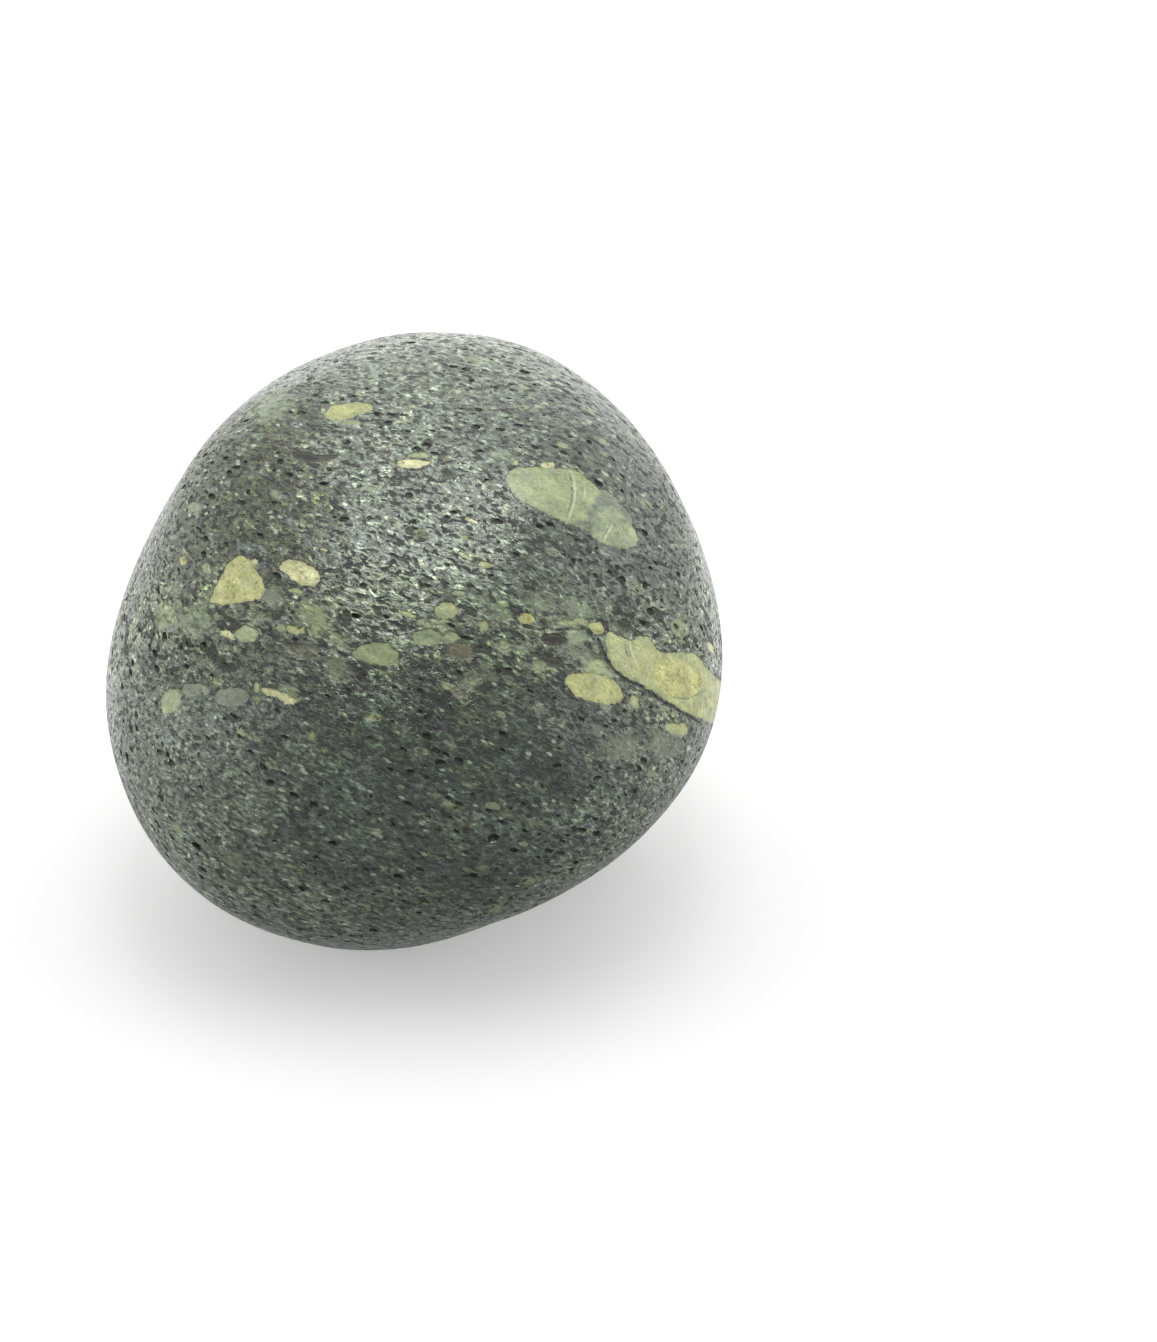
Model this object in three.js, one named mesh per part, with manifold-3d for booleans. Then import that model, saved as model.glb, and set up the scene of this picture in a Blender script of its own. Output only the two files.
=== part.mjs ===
// A viewing stone: one water-worn cobble of green volcanic tuff, about 79 mm wide. Millimetres, +Z up.
// The sea has ground it against its neighbours into broad worn faces that turn softly into each other,
// and its coarser grains have dropped out and left small hollows. It stands on the flat of its foot.

import * as THREE from 'three';
import { mergeVertices } from 'three/addons/utils/BufferGeometryUtils.js';
import Module from 'manifold-3d';

// ---- Driving dimensions ------------------------------------------------------------------------

const WEAR = 9; // how tightly one worn face turns into the next: a higher number leaves a crisper turn
const FOOT_BELOW_MIDDLE = 36.8; // the plane of the foot, under the middle of the stone
const SKIN_DIVISIONS = 15; // each of the 20 faces of the icosahedron is parted this often along an edge

// The worn faces: which way each one looks (azimuth anticlockwise from +X, elevation above the
// horizon, in degrees) and how far it lies from the middle of the stone.
const WORN_FACES = [
  { name: 'right side', azimuth: 0, elevation: 0, distance: 42.3 },
  { name: 'right shoulder', azimuth: 16, elevation: 26, distance: 41.2 },
  { name: 'right crown', azimuth: 41, elevation: 49, distance: 43.4 },
  { name: 'crown', azimuth: 90, elevation: 60, distance: 43.4 },
  { name: 'left crown', azimuth: 139, elevation: 49, distance: 41.2 },
  { name: 'left shoulder', azimuth: 164, elevation: 26, distance: 36.6 },
  { name: 'left side', azimuth: 180, elevation: 0, distance: 42.3 },
  { name: 'left underside', azimuth: 196, elevation: -26, distance: 43.0 },
  { name: 'left chin', azimuth: 221, elevation: -49, distance: 42.6 },
  { name: 'chin', azimuth: 270, elevation: -60, distance: 44.2 },
  { name: 'right chin', azimuth: 319, elevation: -49, distance: 37.8 },
  { name: 'right underside', azimuth: 344, elevation: -26, distance: 43.4 },
  { name: 'front', azimuth: 270, elevation: 28, distance: 43.5 },
  { name: 'front right', azimuth: 318, elevation: 22, distance: 42.5 },
  { name: 'front left', azimuth: 222, elevation: 24, distance: 41.5 },
  { name: 'brow', azimuth: 270, elevation: 76, distance: 40.5 },
  { name: 'lower front', azimuth: 270, elevation: -14, distance: 43.0 },
  { name: 'back', azimuth: 90, elevation: -26, distance: 43.4 },
  { name: 'back right', azimuth: 38, elevation: -14, distance: 42.5 },
  { name: 'back left', azimuth: 142, elevation: -18, distance: 42.0 },
  { name: 'upper back', azimuth: 90, elevation: 14, distance: 44.5 },
  { name: 'heel', azimuth: 90, elevation: -62, distance: 41.0 },
  { name: 'foot', azimuth: 270, elevation: -89, distance: 41.0 },
];

// Long low swells that uneven wear left on top of the worn faces: the way each one runs, its
// wavelength, its height above and below the face, and its shift in degrees.
const SWELLS = [
  { azimuth: 20, elevation: 35, wavelength: 37, height: 0.22, shift: 130 },
  { azimuth: 305, elevation: 10, wavelength: 29, height: 0.2, shift: 20 },
  { azimuth: 75, elevation: -40, wavelength: 24, height: 0.15, shift: 310 },
  { azimuth: 250, elevation: 62, wavelength: 19, height: 0.1, shift: 95 },
  { azimuth: 160, elevation: -15, wavelength: 15, height: 0.05, shift: 150 },
];

// The beds of the tuff lie nearly level and dip to the right: this is the way they run across a face.
const BEDDING_RUN = { azimuth: 0, elevation: -14 };

// The hollows that catch the eye: where each one is (degrees), and its length and width.
const EYE_CATCHING_HOLLOWS = [
  { azimuth: 285, elevation: -4, length: 1.7, width: 1.3 },
  { azimuth: 299, elevation: -5, length: 2.3, width: 0.9 },
  { azimuth: 236, elevation: -9, length: 1.5, width: 1.1 },
  { azimuth: 236, elevation: -14, length: 1.3, width: 0.9 },
  { azimuth: 241, elevation: 14, length: 1.6, width: 0.7 },
  { azimuth: 231, elevation: 23, length: 1.1, width: 0.9 },
  { azimuth: 228, elevation: 19, length: 1.2, width: 0.7 },
  { azimuth: 228, elevation: -2, length: 1.1, width: 0.7 },
  { azimuth: 247, elevation: 56, length: 1.2, width: 0.7 },
  { azimuth: 249, elevation: 17, length: 1.4, width: 0.6 },
  { azimuth: 251, elevation: 29, length: 1.5, width: 0.6 },
  { azimuth: 251, elevation: 13, length: 1.1, width: 0.8 },
  { azimuth: 256, elevation: 50, length: 1.4, width: 0.8 },
  { azimuth: 259, elevation: -5, length: 1.2, width: 0.8 },
  { azimuth: 262, elevation: 34, length: 1.5, width: 0.7 },
  { azimuth: 263, elevation: 39, length: 1.2, width: 0.8 },
  { azimuth: 272, elevation: 9, length: 1.3, width: 0.8 },
  { azimuth: 274, elevation: 50, length: 1.6, width: 0.7 },
  { azimuth: 276, elevation: 39, length: 1.2, width: 0.6 },
  { azimuth: 282, elevation: -12, length: 1.5, width: 0.9 },
  { azimuth: 283, elevation: 30, length: 1.6, width: 0.6 },
  { azimuth: 290, elevation: 24, length: 1.1, width: 0.7 },
  { azimuth: 294, elevation: 48, length: 1.7, width: 0.8 },
  { azimuth: 296, elevation: 42, length: 1.0, width: 0.6 },
  { azimuth: 296, elevation: 7, length: 1.2, width: 0.8 },
  { azimuth: 299, elevation: 62, length: 1.2, width: 0.6 },
  { azimuth: 303, elevation: 3, length: 1.6, width: 0.8 },
  { azimuth: 306, elevation: 45, length: 1.1, width: 0.6 },
  { azimuth: 311, elevation: 41, length: 1.1, width: 0.6 },
  { azimuth: 320, elevation: 24, length: 1.4, width: 0.6 },
];

// The other hollows are strewn evenly over the sides that the show face turns its back on.
const STREWN_HOLLOWS = 120;
const SHOW_SIDE = { azimuth: 270, elevation: 30 };
const SHOW_SIDE_REACH = 0.2; // the cosine of how far round from its middle the show face reaches
const HOLLOW_LENGTH = { least: 1.2, most: 2.2 };
const HOLLOW_SLENDERNESS = { least: 0.5, most: 0.85 }; // width over length
const HOLLOW_DEPTH = 0.6; // depth over width
const HOLLOW_WANDER = 0.12; // how far a strewn hollow strays from its even place, as a share of its radius
const HOLLOW_RAGGEDNESS = 0.16; // how unevenly a hollow's wall is broken
const FOOT_MARGIN = 3; // no hollow's middle lies nearer than this above the foot

// ---- Helpers -----------------------------------------------------------------------------------

const radians = THREE.MathUtils.degToRad;

function heading(azimuth, elevation) {
  const level = Math.cos(radians(elevation));
  return new THREE.Vector3(
    level * Math.cos(radians(azimuth)),
    level * Math.sin(radians(azimuth)),
    Math.sin(radians(elevation)),
  );
}

// A repeatable stray number between 0 and 1 for the hollow with this index.
function stray(index, kind) {
  const value = Math.sin(index * 127.1 + kind * 311.7) * 43758.5453;
  return value - Math.floor(value);
}

function between({ least, most }, share) {
  return least + (most - least) * share;
}

const faces = WORN_FACES.map(({ azimuth, elevation, distance }) => ({
  normal: heading(azimuth, elevation),
  distance,
}));

const swells = SWELLS.map(({ azimuth, elevation, wavelength, height, shift }) => ({
  run: heading(azimuth, elevation).multiplyScalar((2 * Math.PI) / wavelength),
  height,
  shift: radians(shift),
}));

// The surface of the stone in one direction from its middle: the worn faces, blended, plus the swells.
function surfaceAlong(direction) {
  let sum = 0;
  for (const { normal, distance } of faces) {
    sum += (Math.max(0, direction.dot(normal)) / distance) ** WEAR;
  }
  const point = direction.clone().multiplyScalar(sum ** (-1 / WEAR));
  let swelling = 0;
  for (const { run, height, shift } of swells) {
    swelling += height * Math.sin(point.dot(run) + shift);
  }
  return point.addScaledVector(direction, swelling);
}

function bare(geometry) {
  geometry.deleteAttribute('normal');
  geometry.deleteAttribute('uv');
  return mergeVertices(geometry, 1e-5);
}

// ---- Solids ------------------------------------------------------------------------------------

const wasm = await Module();
wasm.setup();

function solidFrom(geometry) {
  return new wasm.Manifold(
    new wasm.Mesh({
      numProp: 3,
      vertProperties: new Float32Array(geometry.attributes.position.array),
      triVerts: new Uint32Array(geometry.index.array),
    }),
  );
}

function geometryFrom(solid) {
  const { vertProperties, triVerts } = solid.getMesh();
  const geometry = new THREE.BufferGeometry();
  geometry.setAttribute('position', new THREE.BufferAttribute(vertProperties, 3));
  geometry.setIndex(new THREE.BufferAttribute(triVerts, 1));
  return geometry;
}

function wornSkin() {
  const geometry = bare(new THREE.IcosahedronGeometry(1, SKIN_DIVISIONS - 1));
  const positions = geometry.attributes.position;
  const direction = new THREE.Vector3();
  for (let i = 0; i < positions.count; i += 1) {
    const point = surfaceAlong(direction.fromBufferAttribute(positions, i).normalize());
    positions.setXYZ(i, point.x, point.y, point.z);
  }
  return solidFrom(geometry);
}

// All that lies under the foot's plane, which the standing face is cut with.
function groundUnderFoot() {
  const size = 120;
  const ground = new THREE.BoxGeometry(size, size, size);
  ground.translate(0, 0, -FOOT_BELOW_MIDDLE - size / 2);
  return solidFrom(bare(ground));
}

// A hollow where a grain dropped out: a small broken lump, long along the bedding, sunk in the skin.
function hollow({ direction, length, width, index }) {
  const lump = bare(new THREE.IcosahedronGeometry(1, 0));
  const positions = lump.attributes.position;
  for (let i = 0; i < positions.count; i += 1) {
    const bulge = 1 + HOLLOW_RAGGEDNESS * (2 * stray(index, 10 + i) - 1);
    positions.setXYZ(
      i,
      positions.getX(i) * bulge * (length / 2),
      positions.getY(i) * bulge * (width / 2),
      positions.getZ(i) * bulge * width * HOLLOW_DEPTH,
    );
  }
  const along = heading(BEDDING_RUN.azimuth, BEDDING_RUN.elevation);
  along.addScaledVector(direction, -along.dot(direction)).normalize();
  const across = new THREE.Vector3().crossVectors(direction, along);
  const turn = new THREE.Matrix4().makeBasis(along, across, direction);
  lump.applyMatrix4(turn);
  const place = surfaceAlong(direction);
  lump.translate(place.x, place.y, place.z);
  return solidFrom(lump);
}

// Even places over the whole stone, on a spiral from the top to the foot, each one strayed a little.
function strewnHollow(index) {
  const height = 1 - (2 * index + 1) / STREWN_HOLLOWS;
  const turn = index * Math.PI * (3 - Math.sqrt(5));
  const level = Math.sqrt(1 - height * height);
  const direction = new THREE.Vector3(level * Math.cos(turn), level * Math.sin(turn), height);
  const wander = new THREE.Vector3(stray(index, 1), stray(index, 2), stray(index, 3)).subScalar(0.5);
  direction.addScaledVector(wander, 2 * HOLLOW_WANDER).normalize();
  const length = between(HOLLOW_LENGTH, stray(index, 4));
  const width = length * between(HOLLOW_SLENDERNESS, stray(index, 5));
  return { direction, length, width, index };
}

function eyeCatchingHollow({ azimuth, elevation, length, width }, number) {
  const index = STREWN_HOLLOWS + number;
  return { direction: heading(azimuth, elevation), length, width, index };
}

function isOffShowFace({ direction }) {
  return direction.dot(heading(SHOW_SIDE.azimuth, SHOW_SIDE.elevation)) < SHOW_SIDE_REACH;
}

function standsClearOfFoot({ direction }) {
  return surfaceAlong(direction).z > FOOT_MARGIN - FOOT_BELOW_MIDDLE;
}

function stoneSolid() {
  const strewn = Array.from({ length: STREWN_HOLLOWS }, (_, index) => strewnHollow(index));
  const hollows = EYE_CATCHING_HOLLOWS.map(eyeCatchingHollow)
    .concat(strewn.filter(isOffShowFace))
    .filter(standsClearOfFoot);
  const lumps = hollows.map(hollow).reduce((all, lump) => all.add(lump));
  return wornSkin().subtract(groundUnderFoot()).subtract(lumps);
}

// ---- The stone ---------------------------------------------------------------------------------

const tuff = new THREE.MeshStandardMaterial({ color: 0x6d7468, roughness: 0.5, metalness: 0 });

function viewingStone() {
  const geometry = geometryFrom(stoneSolid());
  geometry.computeBoundingBox();
  const middle = geometry.boundingBox.getCenter(new THREE.Vector3());
  geometry.computeVertexNormals();
  const stone = new THREE.Mesh(geometry, tuff);
  stone.name = 'viewing_stone';
  stone.position.set(-middle.x, -middle.y, FOOT_BELOW_MIDDLE);
  return stone;
}

const part = new THREE.Group();
part.add(viewingStone());

export default part;
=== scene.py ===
"""A viewing stone: one water-worn cobble of green tuff, standing on the flat of its foot.

The worn form, the hollows and the pale pebbles caught in the tuff are given in millimetres from the
middle of the stone. The finished piece is set where the solid stands, in metres.
"""

import math

import bmesh
import bpy
import numpy as np
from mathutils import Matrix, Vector


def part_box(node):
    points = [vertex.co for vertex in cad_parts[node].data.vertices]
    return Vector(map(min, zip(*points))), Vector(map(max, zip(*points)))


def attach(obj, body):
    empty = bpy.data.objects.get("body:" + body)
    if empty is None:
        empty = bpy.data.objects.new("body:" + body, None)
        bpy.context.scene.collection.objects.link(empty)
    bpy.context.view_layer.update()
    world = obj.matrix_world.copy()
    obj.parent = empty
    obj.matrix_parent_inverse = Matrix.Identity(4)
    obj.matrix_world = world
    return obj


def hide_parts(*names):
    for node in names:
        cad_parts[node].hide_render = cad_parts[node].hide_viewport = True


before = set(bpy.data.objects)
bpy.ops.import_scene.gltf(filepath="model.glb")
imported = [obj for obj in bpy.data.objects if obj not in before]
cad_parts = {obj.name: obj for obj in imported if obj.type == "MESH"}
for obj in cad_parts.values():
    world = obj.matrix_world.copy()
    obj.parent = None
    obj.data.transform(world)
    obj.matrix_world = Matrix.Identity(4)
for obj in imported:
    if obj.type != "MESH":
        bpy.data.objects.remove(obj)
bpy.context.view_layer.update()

MM = 0.001

# ---- The worn form ------------------------------------------------------------------------------

WEAR = 9  # how tightly one worn face turns into the next
FOOT_BELOW_MIDDLE = 36.8
SKIN_SUBDIVISIONS = 6

# Azimuth anticlockwise from +X, elevation above the horizon (degrees), distance from the middle.
WORN_FACES = (
    (0, 0, 42.3),  # right side
    (16, 26, 41.2),  # right shoulder
    (41, 49, 43.4),  # right crown
    (90, 60, 43.4),  # crown
    (139, 49, 41.2),  # left crown
    (164, 26, 36.6),  # left shoulder
    (180, 0, 42.3),  # left side
    (196, -26, 43.0),  # left underside
    (221, -49, 42.6),  # left chin
    (270, -60, 44.2),  # chin
    (319, -49, 37.8),  # right chin
    (344, -26, 43.4),  # right underside
    (270, 28, 43.5),  # front
    (318, 22, 42.5),  # front right
    (222, 24, 41.5),  # front left
    (270, 76, 40.5),  # brow
    (270, -14, 43.0),  # lower front
    (90, -26, 43.4),  # back
    (38, -14, 42.5),  # back right
    (142, -18, 42.0),  # back left
    (90, 14, 44.5),  # upper back
    (90, -62, 41.0),  # heel
    (270, -89, 41.0),  # foot
)

# The way a swell runs (azimuth, elevation), its wavelength, its height and its shift in degrees.
SWELLS = (
    (20, 35, 37, 0.22, 130),
    (305, 10, 29, 0.20, 20),
    (75, -40, 24, 0.15, 310),
    (250, 62, 19, 0.10, 95),
    (160, -15, 15, 0.05, 150),
)


def heading(azimuth, elevation):
    """The unit vector towards this azimuth and elevation, in degrees."""
    turn, rise = math.radians(azimuth), math.radians(elevation)
    return np.array((math.cos(rise) * math.cos(turn), math.cos(rise) * math.sin(turn), math.sin(rise)))


def unit(vectors):
    return vectors / np.linalg.norm(vectors, axis=-1, keepdims=True)


def surface_along(directions):
    """Where the worn skin lies in each of these directions from the middle of the stone."""
    total = np.zeros(len(directions))
    for azimuth, elevation, distance in WORN_FACES:
        total += (np.maximum(0, directions @ heading(azimuth, elevation)) / distance) ** WEAR
    points = directions * (total ** (-1 / WEAR))[:, None]
    swelling = np.zeros(len(directions))
    for azimuth, elevation, wavelength, height, shift in SWELLS:
        run = heading(azimuth, elevation) * 2 * math.pi / wavelength
        swelling += height * np.sin(points @ run + math.radians(shift))
    return points + directions * swelling[:, None]


def vertex_places(shape):
    return np.array([vertex.co for vertex in shape.verts])


def press_on_skin(shape):
    """Moves every vertex along its own direction until it lies on the worn skin."""
    for vertex, place in zip(shape.verts, surface_along(unit(vertex_places(shape)))):
        vertex.co = place


def cut_foot(shape):
    """Cuts the stone level at its foot and closes the cut."""
    everything = shape.verts[:] + shape.edges[:] + shape.faces[:]
    level = (0, 0, -FOOT_BELOW_MIDDLE)
    cut = bmesh.ops.bisect_plane(
        shape, geom=everything, plane_co=level, plane_no=(0, 0, 1), clear_inner=True
    )
    rim = [item for item in cut["geom_cut"] if isinstance(item, bmesh.types.BMEdge)]
    foot = bmesh.ops.edgeloop_fill(shape, edges=rim)["faces"]
    bmesh.ops.triangulate(shape, faces=foot)
    bmesh.ops.recalc_face_normals(shape, faces=shape.faces[:])


# ---- Where the marks of the shown face lie -------------------------------------------------------

# The shown face is looked at from in front and a little above. Its marks are laid out as they look
# from there, across and up in millimetres from the middle of the stone.
SHOW_RISE = math.radians(30)
SHOW_DISTANCE = 500  # from the eye to what it aims at
SHOW_AIM = (21.6, -3.4)  # what the view is centred on, across and up from the middle of the stone
TOWARD_SHOW = np.array((0, -math.cos(SHOW_RISE), math.sin(SHOW_RISE)))
ACROSS_SHOW = np.array((1.0, 0.0, 0.0))
UP_SHOW = np.array((0, math.sin(SHOW_RISE), math.cos(SHOW_RISE)))
SHOW_EYE = ACROSS_SHOW * SHOW_AIM[0] + UP_SHOW * SHOW_AIM[1] + TOWARD_SHOW * SHOW_DISTANCE


def laid_out(points):
    """How far across and up each point looks to lie from the middle of the stone."""
    sight = points - SHOW_EYE
    spread = SHOW_DISTANCE / -(sight @ TOWARD_SHOW)
    across = (sight @ ACROSS_SHOW) * spread + SHOW_AIM[0]
    up = (sight @ UP_SHOW) * spread + SHOW_AIM[1]
    return np.stack((across, up), axis=1)


# ---- Pebbles caught in the tuff ------------------------------------------------------------------

# The tone of a pebble, from a dark shard to a cream one. A number between two of these is a tone
# between theirs.
DARK, DUSK, SAGE, MOSS, PALE_GREEN, YELLOW_GREEN, YELLOW, CREAM = (step / 7 for step in range(8))

# How softly a pebble ends, in millimetres.
CRISP, WORN, FADED, MISTY = 0.07, 0.14, 0.35, 0.7


def lens(across, up, length, width, tilt=-12):
    """The outline of a rounded shard: eight points round its middle."""
    turn = math.radians(tilt)
    outline = []
    for step in range(8):
        angle = math.radians(45 * step)
        along = math.cos(angle) * length / 2
        aside = math.sin(angle) * width / 2
        outline.append((
            across + along * math.cos(turn) - aside * math.sin(turn),
            up + along * math.sin(turn) + aside * math.cos(turn),
        ))
    return outline


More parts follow.
